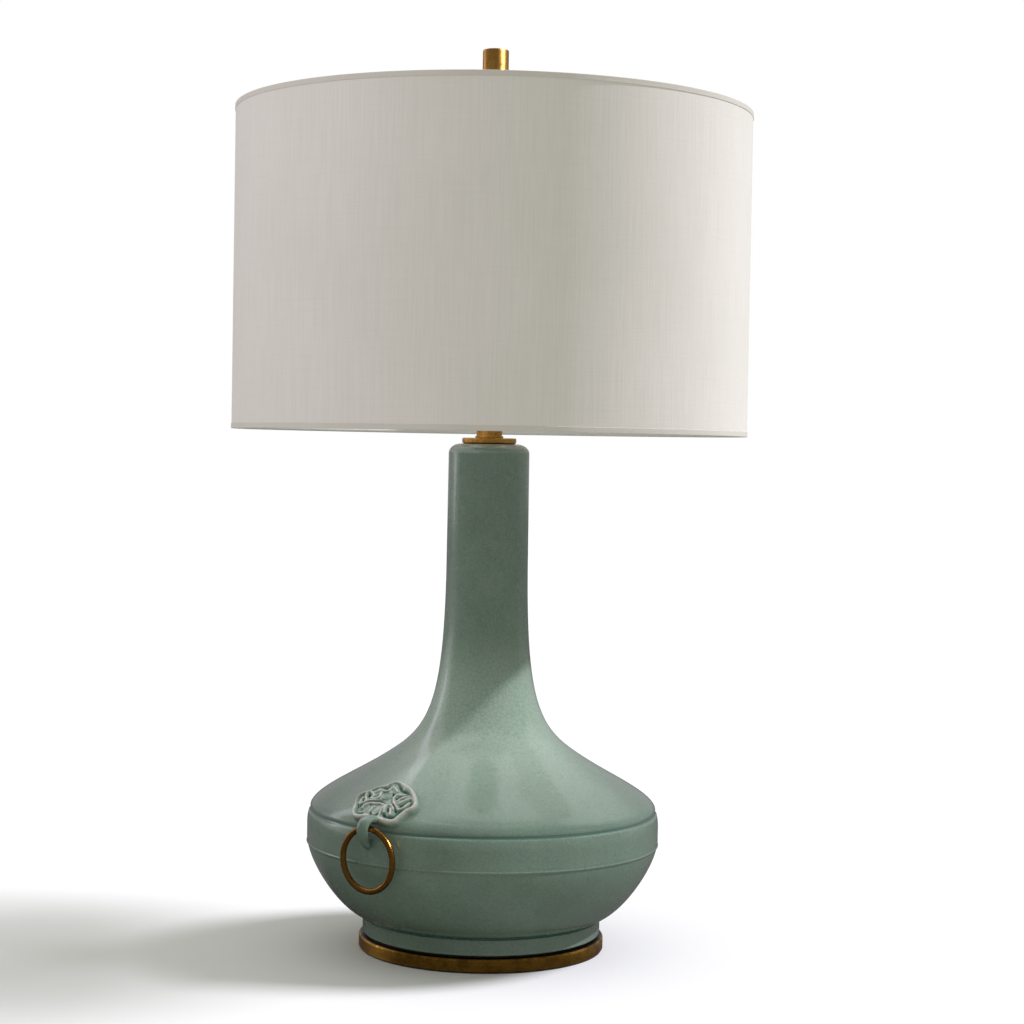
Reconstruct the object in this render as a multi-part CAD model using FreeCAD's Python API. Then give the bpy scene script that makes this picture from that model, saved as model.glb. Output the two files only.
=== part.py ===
import FreeCAD
import Part
import math
import os

from FreeCAD import Vector

# A table lamp: a glazed bottle-shaped jar on a brass foot, with an applied cloud and a hanging
# ring on each side of the shoulder, a harp and socket on a threaded stem, and a drum shade.
# Millimetres. +Z is up, the front is -Y, and the origin is the bottom centre of the felt.

# ---- Driving dimensions ----------------------------------------------------------------------

# Brass base and its felt
FELT_T = 1.5
FELT_INSET = 0.6
PAN_PROUD = 2.8
PAN_H = 9.7
PAN_T = 1.2
PAN_EDGE_R = 2.0
PAN_LIP_W = 4.2
PAN_LIP_T = 1.0

# Cord inlet in the rear of the base
INLET_Z = 6.2
INLET_BORE_R = 3.0
INLET_WALL = 0.55
INLET_FLANGE_R = 4.5
INLET_FLANGE_T = 1.3
INLET_SNAP_R = 3.7
INLET_SNAP_L = 1.6
INLET_FIT = 0.02

# Threaded stem and what clamps it
STEM_R = 4.825
STEM_BORE_R = 3.2
STEM_BELOW = 3.0
STEM_FIT = 0.12
STEM_IN_CAP = 6.0
WASHER_R = 19.0
WASHER_T = 1.5
LOCK_R = 8.0
LOCK_T = 1.2
NUT_SIDES = 6
NUT_FLATS = 14.3
NUT_T = 3.2

# Seat under the jar
GASKET_T = 1.4
GASKET_INSET = 2.2
GASKET_W = 7.0

# Jar: heights are above its foot
JAR_H = 387.8
JAR_WALL = 6.0
OFFSET_POINTS = 8
ROUND_HANDLE = 0.55
FOOT_R = 94.4
FOOT_W = 10.0
FOOT_H = 14.4
FOOT_RECESS_H = 11.4
FOOT_EDGE_R = 1.4
FOOT_GROOVE_W = 2.2
FOOT_GROOVE_D = 1.0
BOWL_LEDGE = 1.1
BOWL_LOW_HANDLE = (18.0, 4.7)
BOWL_HIGH_HANDLE = (3.6, 17.7)
BAND_R = 139.7
BAND_LOW = 70.8
BAND_HIGH = 97.1
BEAD_W = 2.2
BEAD_D = 0.5
BAND_LEAN = 1.2
BAND_LEAN_H = 9.0
GROOVE_W = 3.2
GROOVE_D = 1.1
SHOULDER_STEP = 2.5
SHOULDER_MID_R = 84.0
SHOULDER_MID_H = 136.4
SHOULDER_LOW_HANDLE = (1.5, 9.6)
SHOULDER_SLOPE = 32.1
SHOULDER_HIGH_HANDLE = 24.9
FLARE_LOW_HANDLE = 45.9
FLARE_HIGH_HANDLE = 131.3
NECK_LOW_R = 32.4
NECK_LOW_H = 302.9
NECK_TOP_R = 32.0
LIP_W = 10.0
LIP_H = 7.5
MOUTH_R = 17.0
MOUTH_T = 7.0
JAR_HOLE_R = 7.0

# Applied cloud on the shoulder. The outline is in shares of the width and height, across and up
# the slope from the middle.
CLOUD_AZIMUTH = -36.0
CLOUD_AT = 0.53
CLOUD_SWEEP = 60.0
CLOUD_W = 59.0
CLOUD_H = 43.6
CLOUD_SHIFT = -1.2
CLOUD_DROP = 4.9
CLOUD_RIM_T = 5.4
CLOUD_FLOOR_T = 3.8
CLOUD_RIM_W = 4.0
CLOUD_BOSS_R = 3.6
CLOUD_BOSS_SHIFT = -3.3
CLOUD_BOSS_DROP = 1.0
CLOUD_OUTLINE = [
    (-0.415, -0.295), (-0.338, -0.436), (-0.221, -0.471), (-0.109, -0.466),
    (-0.012, -0.467), (0.090, -0.481), (0.204, -0.498), (0.322, -0.479),
    (0.401, -0.329), (0.448, -0.192), (0.500, -0.033), (0.452, 0.117),
    (0.381, 0.227), (0.306, 0.315), (0.215, 0.392), (0.114, 0.453),
    (0.006, 0.496), (-0.120, 0.471), (-0.210, 0.371), (-0.287, 0.317),
    (-0.369, 0.229), (-0.452, 0.147), (-0.500, 0.010), (-0.457, -0.159),
]

# Hanging ring and the ceramic loop that holds it
RING_MEAN_R = 23.5
RING_WIRE_R = 2.35
RING_STANDOFF = 5.3
RING_PIVOT_RISE = 2.95
LOOP_W = 9.2
LOOP_T = 4.6
LOOP_PLAY = 0.3
LOOP_TAIL_SLOPE = 45.0
LOOP_TAIL_IN = 13.0
LOOP_TAIL_OUT = 4.2
LOOP_HEAD_RISE = 9.2
LOOP_HEAD_OUT = 5.4
LOOP_ROOT_IN = 11.0
LOOP_ROOT_RISE = 6.0
LOOP_BEND_R = 5.0

# Neck fittings
CAP_GASKET_T = 0.4
CAP_GASKET_W = 3.4
CAP_R = 21.5
CAP_T = 4.2
CAP_EDGE_R = 1.0
CAP_PILOT_L = 4.0
CAP_PILOT_FIT = 0.3
CAP_PILOT_WALL = 2.0
COLLAR_FLANGE_R = 11.15
COLLAR_FLANGE_T = 1.7
COLLAR_R = 10.15
COLLAR_H = 12.0
COLLAR_EDGE_R = 0.5

# Harp and its saddle
SADDLE_T = 1.2
SADDLE_W = 12.7
SADDLE_ARM_W = 6.0
SADDLE_ARM_X = 33.8
SADDLE_ARM_H = 23.0
SADDLE_BEND_R = 7.0
SADDLE_NECK_H = 12.0
HARP_H = 228.6
HARP_WIRE_R = 2.0
HARP_LEG_PLAY = 0.1
HARP_LEG_UP = 13.0
HARP_LEG_L = 40.0
HARP_BOW_X = 57.0
HARP_BOW_UP = 96.0
HARP_BEND_R = 26.0
HARP_TOP_BEND_R = 42.0
HARP_SEAT_R = 8.0
HARP_SEAT_T = 2.2
HARP_SEAT_SINK = 0.4
STUD_R = 3.175
STUD_L = 12.0
FERRULE_H = 12.0
FERRULE_WALL = 0.8
FERRULE_PLAY = 0.3
FERRULE_UP = 2.0

# Socket
SOCKET_HUB_R = 7.0
SOCKET_HUB_H = 6.0
SOCKET_CAP_R = 16.8
SOCKET_CAP_H = 21.8
SOCKET_CAP_CONE_H = 5.5
SOCKET_CAP_T = 0.7
SOCKET_HUB_EDGE_R = 1.0
SOCKET_CAP_EDGE_R = 3.0
SHELL_PLAY = 0.1
SHELL_T = 0.5
SHELL_UP = 13.8
SHELL_L = 46.0
LINER_PLAY = 0.1
LINER_T = 0.8
LINER_END = 1.0
CORE_PLAY = 0.3
CORE_H = 19.0
SCREW_SHELL_R = 13.9
SCREW_SHELL_T = 0.4
SCREW_SHELL_L = 24.0
CONTACT_R = 4.0
CONTACT_T = 3.0
TERMINAL_FLAT_X = 11.0
TERMINAL_HEAD_R = 3.0
TERMINAL_HEAD_T = 2.2
TERMINAL_SHANK_R = 1.7
TERMINAL_SHANK_L = 5.0
SET_SCREW_R = 1.5
SET_SCREW_PROUD = 2.0
SWITCH_UP = 25.0
SWITCH_SHAFT_R = 2.0
SWITCH_RUN = 0.05
SWITCH_SLOT_PLAY = 1.0
SWITCH_DEPTH = 6.0
KNOB_R = 4.5
KNOB_L = 14.0
KNOB_START = 17.6
KNOB_SOCKET_L = 9.0
KNOB_EDGE_R = 0.8
KNOB_FLUTES = 12
KNOB_FLUTE_R = 0.8

# Bulb
BULB_CAP_R = 13.1
BULB_CAP_L = 19.0
BULB_CAP_T = 0.4
BULB_THREADS = 5
BULB_THREAD_D = 0.9
BULB_TIP_R = 4.2
BULB_TIP_T = 1.6
BULB_TIP_PLAY = 0.3
BULB_TIP_LAND = 1.0
BULB_INSULATOR_T = 4.2
BULB_NECK_R = 12.9
BULB_R = 30.0
BULB_GLASS_H = 84.0
BULB_WIDEST_UP = 54.0
BULB_NECK_HANDLE = 34.0
BULB_LOW_HANDLE = 22.0
BULB_GLASS_T = 0.9
BULB_GLASS_SINK = 3.0

# Shade
SHADE_R = 203.2
SHADE_H = 252.0
SHADE_DROP = 12.7
FABRIC_T = 0.7
LINER_SHEET_T = 0.8
HEM_PROUD = 0.4
HEM_H = 4.0
HEM_T = 0.5
SEAM_W = 12.0
SEAM_T = 0.3
RIM_WIRE_R = 1.8
RIM_PLAY = 0.05
SPIDER_WASHER_R = 13.0
SPIDER_WASHER_T = 1.6
SPIDER_HOLE_PLAY = 0.4
SPIDER_ARM_R = 1.5
SPIDER_ARM_START = 10.3
SPIDER_BEND_R = 5.0
SPIDER_AZIMUTH = -56.0
SPIDER_ARMS = 3

# Finial
FINIAL_R = 10.3
FINIAL_H = 62.8
FINIAL_EDGE_R = 1.2
FINIAL_BORE_PLAY = 0.05
FINIAL_BORE_SPARE = 1.5

# ---- Heights and radii that follow from them -------------------------------------------------

PAN_R = FOOT_R + PAN_PROUD
PAN_TOP = FELT_T + PAN_H
PAN_UNDER = PAN_TOP - PAN_T
JAR_Z = PAN_TOP + GASKET_T
JAR_TOP = JAR_Z + JAR_H
CAP_Z = JAR_TOP + CAP_GASKET_T
CAP_TOP = CAP_Z + CAP_T
COLLAR_TOP = CAP_TOP + COLLAR_H
SADDLE_TOP = COLLAR_TOP + SADDLE_T
HARP_TOP = SADDLE_TOP + HARP_H
WASHER_TOP = HARP_TOP + SPIDER_WASHER_T
SHADE_TOP = WASHER_TOP + SHADE_DROP
SHADE_BOTTOM = SHADE_TOP - SHADE_H
STEM_HOLE_R = STEM_R + STEM_FIT
STEM_TOP = SADDLE_TOP + STEM_IN_CAP

RING_PIVOT_R = BAND_R + RING_STANDOFF
RING_PIVOT_Z = JAR_Z + BAND_HIGH + RING_PIVOT_RISE
LOOP_AZIMUTHS = {"front": CLOUD_AZIMUTH, "back": CLOUD_AZIMUTH + 180.0}

SHELL_R = SOCKET_CAP_R - SOCKET_CAP_T - SHELL_PLAY
SOCKET_LINER_R = SHELL_R - SHELL_T - LINER_PLAY
CORE_R = SOCKET_LINER_R - LINER_T - CORE_PLAY
SHELL_Z = SADDLE_TOP + SHELL_UP
CORE_Z = SHELL_Z + LINER_END
CORE_TOP = CORE_Z + CORE_H
SWITCH_Z = SADDLE_TOP + SWITCH_UP
CONTACT_TOP = CORE_TOP + CONTACT_T
BULB_TIP_Z = CONTACT_TOP + BULB_TIP_PLAY
BULB_INSULATOR_Z = BULB_TIP_Z + BULB_TIP_T
BULB_CAP_Z = BULB_INSULATOR_Z + BULB_INSULATOR_T
BULB_CAP_TOP = BULB_CAP_Z + BULB_CAP_L

HARP_LEG_X = SADDLE_ARM_X + SADDLE_T / 2 + HARP_LEG_PLAY + HARP_WIRE_R
HARP_LEG_Z = SADDLE_TOP + HARP_LEG_UP
HARP_WIRE_TOP_Z = HARP_TOP - HARP_SEAT_T + HARP_SEAT_SINK - HARP_WIRE_R
FERRULE_LOW_X = SADDLE_ARM_X - SADDLE_T / 2
FERRULE_HIGH_X = HARP_LEG_X + HARP_WIRE_R
FERRULE_X = (FERRULE_LOW_X + FERRULE_HIGH_X) / 2
FERRULE_CORNER = math.hypot(FERRULE_X - FERRULE_LOW_X, SADDLE_ARM_W / 2)
FERRULE_BORE_R = max(FERRULE_CORNER, FERRULE_HIGH_X - FERRULE_X) + FERRULE_PLAY

SHADE_SHEET_R = SHADE_R - FABRIC_T
SHADE_INNER_R = SHADE_SHEET_R - LINER_SHEET_T
RIM_R = SHADE_INNER_R - RIM_PLAY - RIM_WIRE_R
SHEET_BOTTOM = SHADE_BOTTOM + HEM_T
SHEET_TOP = SHADE_TOP - HEM_T

UP = Vector(0, 0, 1)
ORIGIN = Vector(0, 0, 0)


# ---- Shared shapes ---------------------------------------------------------------------------

def at(r, z):
    """A point of a turned profile, in the X-Z plane."""
    return Vector(r, 0, z)


def line(a, b):
    return Part.LineSegment(at(*a), at(*b)).toShape()


def arc(a, middle, b):
    return Part.Arc(at(*a), at(*middle), at(*b)).toShape()


def bezier(poles):
    curve = Part.BezierCurve()
    curve.setPoles([at(*pole) for pole in poles])
    return curve


def rounded_run(points, closed):
    """Straight runs through (x, z, corner radius) points, joined by tangent arcs."""
    count = len(points)
    corners = []
    for index, (x, z, radius) in enumerate(points):
        here = at(x, z)
        if radius == 0 or (not closed and index in (0, count - 1)):
            corners.append((here, here, here))
            continue
        back = (at(*points[index - 1][:2]) - here).normalize()
        ahead = (at(*points[(index + 1) % count][:2]) - here).normalize()
        half = back.getAngle(ahead) / 2
        middle = (back + ahead).normalize()
        reach = radius / math.tan(half)
        inner = here + middle * (radius / math.sin(half) - radius)
        corners.append((here + back * reach, inner, here + ahead * reach))
    edges = []
    for index, (enter, inner, leave) in enumerate(corners):
        if (leave - enter).Length > 0:
            edges.append(Part.Arc(enter, inner, leave).toShape())
        if index < count - 1 or closed:
            onward = corners[(index + 1) % count][0]
            if (onward - leave).Length > 0:
                edges.append(Part.LineSegment(leave, onward).toShape())
    return Part.Wire(edges)


def spun(wire):
    """A solid of revolution about Z."""
    return Part.Face(wire).revolve(ORIGIN, UP, 360)


def turned(points):
    """A turned solid from (radius, height, corner radius) points."""
    return spun(rounded_run(points, True))


def tube(outer_r, inner_r, low, high):
    return turned([(inner_r, low, 0), (outer_r, low, 0), (outer_r, high, 0), (inner_r, high, 0)])


def rod(radius, start, direction, length):
    return Part.makeCylinder(radius, length, start, direction)


def bent_wire(points, radius):
    """Round wire along a run of straights and tangent arcs in the X-Z plane."""
    path = rounded_run(points, False)
    start = path.Edges[0]
    tangent = start.tangentAt(start.FirstParameter)
    if (start.valueAt(start.FirstParameter) - at(*points[0][:2])).Length > radius:
        tangent = start.tangentAt(start.LastParameter).negative()
    section = Part.Wire(Part.Circle(at(*points[0][:2]), tangent, radius).toShape())
    return path.makePipeShell([section], True, False)


def turned_point(point, angle):
    return FreeCAD.Rotation(UP, angle).multVec(point)


def about_z(shape, angle):
    copy = shape.copy()
    copy.rotate(ORIGIN, UP, angle)
    return copy


def faced(shape, azimuth):
    """Turns a piece built on the +X side to an azimuth counted from the front."""
    return about_z(shape, azimuth - 90.0)


def save(name, shape):
    shape.exportStep(os.path.join("parts", name + ".step"))


# ---- Base ------------------------------------------------------------------------------------

def felt_pad():
    return rod(PAN_R - FELT_INSET, ORIGIN, UP, FELT_T)


def inlet_axis(radius, start_y, end_y):
    return rod(radius, Vector(0, start_y, INLET_Z), Vector(0, 1, 0), end_y - start_y)


def base_pan():
    """Spun pan: a deck and a skirt that turns in at the bottom for the felt."""
    bend_in = PAN_EDGE_R - PAN_T
    pan = turned([
        (STEM_HOLE_R, PAN_UNDER, 0),
        (PAN_R - PAN_T, PAN_UNDER, bend_in),
        (PAN_R - PAN_T, FELT_T + PAN_LIP_T, 0),
        (PAN_R - PAN_LIP_W, FELT_T + PAN_LIP_T, 0),
        (PAN_R - PAN_LIP_W, FELT_T, 0),
        (PAN_R, FELT_T, 0),
        (PAN_R, PAN_TOP, PAN_EDGE_R),
        (STEM_HOLE_R, PAN_TOP, 0),
    ])
    return pan.cut(inlet_axis(INLET_BORE_R + INLET_WALL + INLET_FIT, PAN_R / 2, PAN_R + PAN_T))


def cord_bushing(pan):
    """Snap bushing: a flange outside the skirt, a neck through it and a lip inside it."""
    outside = PAN_R + INLET_FLANGE_T
    inside = PAN_R - PAN_T - INLET_SNAP_L
    flange = inlet_axis(INLET_FLANGE_R, inside, outside).cut(rod(PAN_R, ORIGIN, UP, PAN_TOP))
    snap = inlet_axis(INLET_SNAP_R, inside, PAN_R).common(rod(PAN_R - PAN_T, ORIGIN, UP, PAN_TOP))
    neck = inlet_axis(INLET_BORE_R + INLET_WALL, inside, outside)
    bore = inlet_axis(INLET_BORE_R, inside - PAN_T, outside + PAN_T)
    return neck.fuse([flange, snap]).cut(bore).cut(pan).removeSplitter()


def base_washer():
    return tube(WASHER_R, STEM_HOLE_R, PAN_UNDER - WASHER_T, PAN_UNDER)


def base_lock_washer():
    top = PAN_UNDER - WASHER_T
    return tube(LOCK_R, STEM_HOLE_R, top - LOCK_T, top)


def base_nut():
    top = PAN_UNDER - WASHER_T - LOCK_T
    corner_r = NUT_FLATS / math.sqrt(3)
    start = Vector(corner_r, 0, top - NUT_T)
    corners = []
    for step in range(NUT_SIDES + 1):
        corners.append(turned_point(start, 360.0 * step / NUT_SIDES))
    body = Part.Face(Part.makePolygon(corners)).extrude(UP * NUT_T)
    return body.cut(rod(STEM_R, ORIGIN, UP, JAR_Z))


def stem_pipe():
    return tube(STEM_R, STEM_BORE_R, STEM_BELOW, STEM_TOP)


def seat_gasket():
    outer = FOOT_R - GASKET_INSET
    return tube(outer, outer - GASKET_W, PAN_TOP, JAR_Z)


# ---- Jar -------------------------------------------------------------------------------------

def slope_vector(length):
    angle = math.radians(SHOULDER_SLOPE)
    return (length * math.cos(angle), length * math.sin(angle))


def bowl_curve():
    """Foot to band, opening fast and then standing up."""
    start = (FOOT_R + BOWL_LEDGE, JAR_Z + FOOT_H)
    end = (BAND_R - 2 * BEAD_D, JAR_Z + BAND_LOW)
    return bezier([
        start,
        (start[0] + BOWL_LOW_HANDLE[0], start[1] + BOWL_LOW_HANDLE[1]),
        (end[0] - BOWL_HIGH_HANDLE[0], end[1] - BOWL_HIGH_HANDLE[1]),
        end,
    ])


def shoulder_curve():
    """Band to the middle of the shoulder, rolling over to the slope."""
    start = (BAND_R - SHOULDER_STEP, JAR_Z + BAND_HIGH + GROOVE_W)
    end = (SHOULDER_MID_R, JAR_Z + SHOULDER_MID_H)
    out, rise = slope_vector(SHOULDER_HIGH_HANDLE)
    return bezier([
        start,
        (start[0] - SHOULDER_LOW_HANDLE[0], start[1] + SHOULDER_LOW_HANDLE[1]),
        (end[0] + out, end[1] - rise),
        end,
    ])


def flare_curve():
    """Middle of the shoulder to the neck, sweeping up to vertical."""
    start = (SHOULDER_MID_R, JAR_Z + SHOULDER_MID_H)
    end = (NECK_LOW_R, JAR_Z + NECK_LOW_H)
    out, rise = slope_vector(FLARE_LOW_HANDLE)
    return bezier([
        start,
        (start[0] - out, start[1] + rise),
        (end[0], end[1] - FLARE_HIGH_HANDLE),
        end,
    ])


def lip_curve():
    """Rounded top edge of the neck."""
    low = JAR_TOP - LIP_H
    inner = NECK_TOP_R - LIP_W
    return bezier([
        (NECK_TOP_R, low),
        (NECK_TOP_R, low + LIP_H * ROUND_HANDLE),
        (inner + LIP_W * ROUND_HANDLE, JAR_TOP),
        (inner, JAR_TOP),
    ])


def beside(curve, distance):
    """Points at a distance from a profile curve, outward if positive."""
    points = []
    for step in range(OFFSET_POINTS):
        parameter = step / (OFFSET_POINTS - 1)
        tangent = curve.tangent(parameter)[0]
        normal = Vector(tangent.z, 0, -tangent.x)
        points.append(curve.value(parameter) + normal * distance)
    return points


def smooth(points):
    curve = Part.BSplineCurve()
    curve.interpolate(points)
    return curve.toShape()


def end_of(curve):
    point = curve.value(1)
    return (point.x, point.z)


def start_of(curve):
    point = curve.value(0)
    return (point.x, point.z)


def band_edges():
    """From the top of the bowl: bead, straight band, leaning top edge and groove."""
    bowl_top = end_of(bowl_curve())
    bead_top = (BAND_R, JAR_Z + BAND_LOW + BEAD_W)
    bead_middle = (BAND_R + BEAD_D, JAR_Z + BAND_LOW + BEAD_W / 2)
    lean_from = (BAND_R, JAR_Z + BAND_HIGH - BAND_LEAN_H)
    lean_middle = (BAND_R - BAND_LEAN / 4, JAR_Z + BAND_HIGH - BAND_LEAN_H / 2)
    band_top = (BAND_R - BAND_LEAN, JAR_Z + BAND_HIGH)
    shoulder_low = start_of(shoulder_curve())
    groove_r = (band_top[0] + shoulder_low[0]) / 2 - GROOVE_D
    groove_middle = (groove_r, JAR_Z + BAND_HIGH + GROOVE_W / 2)
    return [
        arc(bowl_top, bead_middle, bead_top),
        line(bead_top, lean_from),
        arc(lean_from, lean_middle, band_top),
        arc(band_top, groove_middle, shoulder_low),
    ]


def foot_edges():
    """From the recess under the jar round the foot ring to the start of the bowl."""
    inner = FOOT_R - FOOT_W
    round_in = FOOT_EDGE_R * (1 - math.sqrt(0.5))
    groove_low = JAR_Z + FOOT_H - FOOT_GROOVE_W
    bowl_low = start_of(bowl_curve())
    groove_middle = (FOOT_R - FOOT_GROOVE_D, JAR_Z + FOOT_H - FOOT_GROOVE_W / 2)
    return [
        line((JAR_HOLE_R, JAR_Z + FOOT_RECESS_H), (inner, JAR_Z + FOOT_RECESS_H)),
        line((inner, JAR_Z + FOOT_RECESS_H), (inner, JAR_Z)),
        line((inner, JAR_Z), (FOOT_R - FOOT_EDGE_R, JAR_Z)),
        arc((FOOT_R - FOOT_EDGE_R, JAR_Z), (FOOT_R - round_in, JAR_Z + round_in),
            (FOOT_R, JAR_Z + FOOT_EDGE_R)),
        line((FOOT_R, JAR_Z + FOOT_EDGE_R), (FOOT_R, groove_low)),
        arc((FOOT_R, groove_low), groove_middle, bowl_low),
    ]


def inner_edges():
    """Hollow of the jar: the outside moved in by the wall, from the mouth down to the floor."""
    wall = (beside(bowl_curve(), -JAR_WALL)[:-1]
            + [at(BAND_R - JAR_WALL, JAR_Z + (BAND_LOW + BAND_HIGH) / 2)]
            + beside(shoulder_curve(), -JAR_WALL)[1:]
            + beside(flare_curve(), -JAR_WALL)[1:])
    low = (wall[0].x, wall[0].z)
    high = (wall[-1].x, wall[-1].z)
    throat = (NECK_TOP_R - JAR_WALL, JAR_TOP - MOUTH_T - LIP_H)
    mouth_low = (MOUTH_R, JAR_TOP - MOUTH_T)
    return [
        line((MOUTH_R, JAR_TOP), mouth_low),
        line(mouth_low, throat),
        line(throat, high),
        smooth(wall[::-1]),
        line(low, (JAR_HOLE_R, low[1])),
        line((JAR_HOLE_R, low[1]), (JAR_HOLE_R, JAR_Z + FOOT_RECESS_H)),
    ]


def jar_body():
    neck_low = end_of(flare_curve())
    neck_high = start_of(lip_curve())
    rim = end_of(lip_curve())
    outside = (foot_edges()
               + [bowl_curve().toShape()]
               + band_edges()
               + [shoulder_curve().toShape(), flare_curve().toShape()]
               + [line(neck_low, neck_high), lip_curve().toShape(), line(rim, (MOUTH_R, JAR_TOP))])
    return spun(Part.Wire(Part.__sortEdges__(outside + inner_edges())))


# ---- Applied clouds, loops and rings ---------------------------------------------------------

def shoulder_layer(low, high):
    """A curved slab that follows the shoulder, between two heights over its surface."""
    bottom = beside(shoulder_curve(), low)
    top = beside(shoulder_curve(), high)
    edges = [
        smooth(bottom) if low else shoulder_curve().toShape(),
        Part.LineSegment(bottom[-1], top[-1]).toShape(),
        smooth(top[::-1]),
        Part.LineSegment(top[0], bottom[0]).toShape(),
    ]
    slab = Part.Face(Part.Wire(edges)).revolve(ORIGIN, UP, CLOUD_SWEEP)
    return about_z(slab, -CLOUD_SWEEP / 2)


def cloud_frame():
    """Centre of the cloud, with its across, up-slope and outward directions."""
    curve = shoulder_curve()
    up_slope = curve.tangent(CLOUD_AT)[0]
    outward = Vector(up_slope.z, 0, -up_slope.x)
    return curve.value(CLOUD_AT), Vector(0, 1, 0), up_slope, outward


def cloud_prism(inset):
    """Straight prism over the cloud's outline, drawn in by an inset."""
    centre, across, up_slope, outward = cloud_frame()
    middle = centre + across * CLOUD_SHIFT - up_slope * CLOUD_DROP
    depth = 4 * CLOUD_RIM_T
    points = []
    for share_across, share_up in CLOUD_OUTLINE:
        offset = across * (share_across * CLOUD_W) + up_slope * (share_up * CLOUD_H)
        keep = 1 - inset / offset.Length
        points.append(middle + offset * keep - outward * depth / 2)
    outline = Part.BSplineCurve()
    outline.interpolate(Points=points, PeriodicFlag=True)
    return Part.Face(Part.Wire(outline.toShape())).extrude(outward * depth)


def cloud():
    """Cloud sprig with a raised rim, a sunk floor and a round boss."""
    centre, across, up_slope, outward = cloud_frame()
    block = shoulder_layer(0, CLOUD_RIM_T).common(cloud_prism(0))
    boss_centre = centre + across * CLOUD_BOSS_SHIFT - up_slope * CLOUD_BOSS_DROP
    boss = rod(CLOUD_BOSS_R, boss_centre - outward * 2 * CLOUD_RIM_T, outward, 4 * CLOUD_RIM_T)
    pocket = shoulder_layer(CLOUD_FLOOR_T, 2 * CLOUD_RIM_T).common(cloud_prism(CLOUD_RIM_W))
    return block.cut(pocket.cut(boss))


def loop_path():
    """Corners of the loop's centre line, built round the ring's wire that rests in it."""
    slope = math.radians(LOOP_TAIL_SLOPE)
    inward = (-math.cos(slope), -math.sin(slope))
    below = RING_WIRE_R + LOOP_PLAY + LOOP_T / 2
    rest = (RING_PIVOT_R + below * math.sin(slope), RING_PIVOT_Z - below * math.cos(slope))
    tail = (rest[0] + inward[0] * LOOP_TAIL_IN, rest[1] + inward[1] * LOOP_TAIL_IN)
    heel = (rest[0] - inward[0] * LOOP_TAIL_OUT, rest[1] - inward[1] * LOOP_TAIL_OUT)
    head = (RING_PIVOT_R + LOOP_HEAD_OUT, RING_PIVOT_Z + LOOP_HEAD_RISE)
    root = (RING_PIVOT_R - LOOP_ROOT_IN, RING_PIVOT_Z + LOOP_ROOT_RISE)
    return [(*root, 0), (*head, LOOP_BEND_R), (*heel, LOOP_BEND_R), (*tail, 0)]


def loop(jar, sprig):
    """Ceramic strap from under the cloud, out over the ring's wire and back to the band."""
    corners = loop_path()
    path = rounded_run(corners, False)
    start = at(*corners[0][:2])
    heading = at(*corners[1][:2]) - start
    section = Part.Ellipse(ORIGIN, LOOP_W / 2, LOOP_T / 2).toShape()
    section.rotate(ORIGIN, UP, 90)
    section.rotate(ORIGIN, Vector(0, 1, 0), math.degrees(math.atan2(heading.x, heading.z)))
    section.translate(start)
    strap = path.makePipeShell([Part.Wire(section)], True, False)
    outside = strap.cut(jar).cut(sprig)
    return max(outside.Solids, key=lambda solid: solid.Volume)


def hanging_ring():
    centre = at(RING_PIVOT_R, RING_PIVOT_Z - RING_MEAN_R)
    return Part.makeTorus(RING_MEAN_R, RING_WIRE_R, centre, Vector(1, 0, 0))


# ---- Neck fittings ---------------------------------------------------------------------------

def cap_gasket():
    return tube(CAP_R - CAP_EDGE_R, CAP_R - CAP_EDGE_R - CAP_GASKET_W, JAR_TOP, CAP_Z)


def vase_cap():
    """Turned cap with a hollow pilot that centres it in the jar's mouth."""
    pilot = MOUTH_R - CAP_PILOT_FIT
    return turned([
        (STEM_HOLE_R, CAP_Z, 0),
        (pilot - CAP_PILOT_WALL, CAP_Z, 0),
        (pilot - CAP_PILOT_WALL, CAP_Z - CAP_PILOT_L, 0),
        (pilot, CAP_Z - CAP_PILOT_L, 0),
        (pilot, CAP_Z, 0),
        (CAP_R, CAP_Z, CAP_EDGE_R),
        (CAP_R, CAP_TOP, CAP_EDGE_R),
        (STEM_HOLE_R, CAP_TOP, 0),
    ])


def neck_collar():
    return turned([
        (STEM_HOLE_R, CAP_TOP, 0),
        (COLLAR_FLANGE_R, CAP_TOP, COLLAR_EDGE_R),
        (COLLAR_FLANGE_R, CAP_TOP + COLLAR_FLANGE_T, COLLAR_EDGE_R),
        (COLLAR_R, CAP_TOP + COLLAR_FLANGE_T, 0),
        (COLLAR_R, COLLAR_TOP, COLLAR_EDGE_R),
        (STEM_HOLE_R, COLLAR_TOP, 0),
    ])


# ---- Harp ------------------------------------------------------------------------------------

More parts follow.
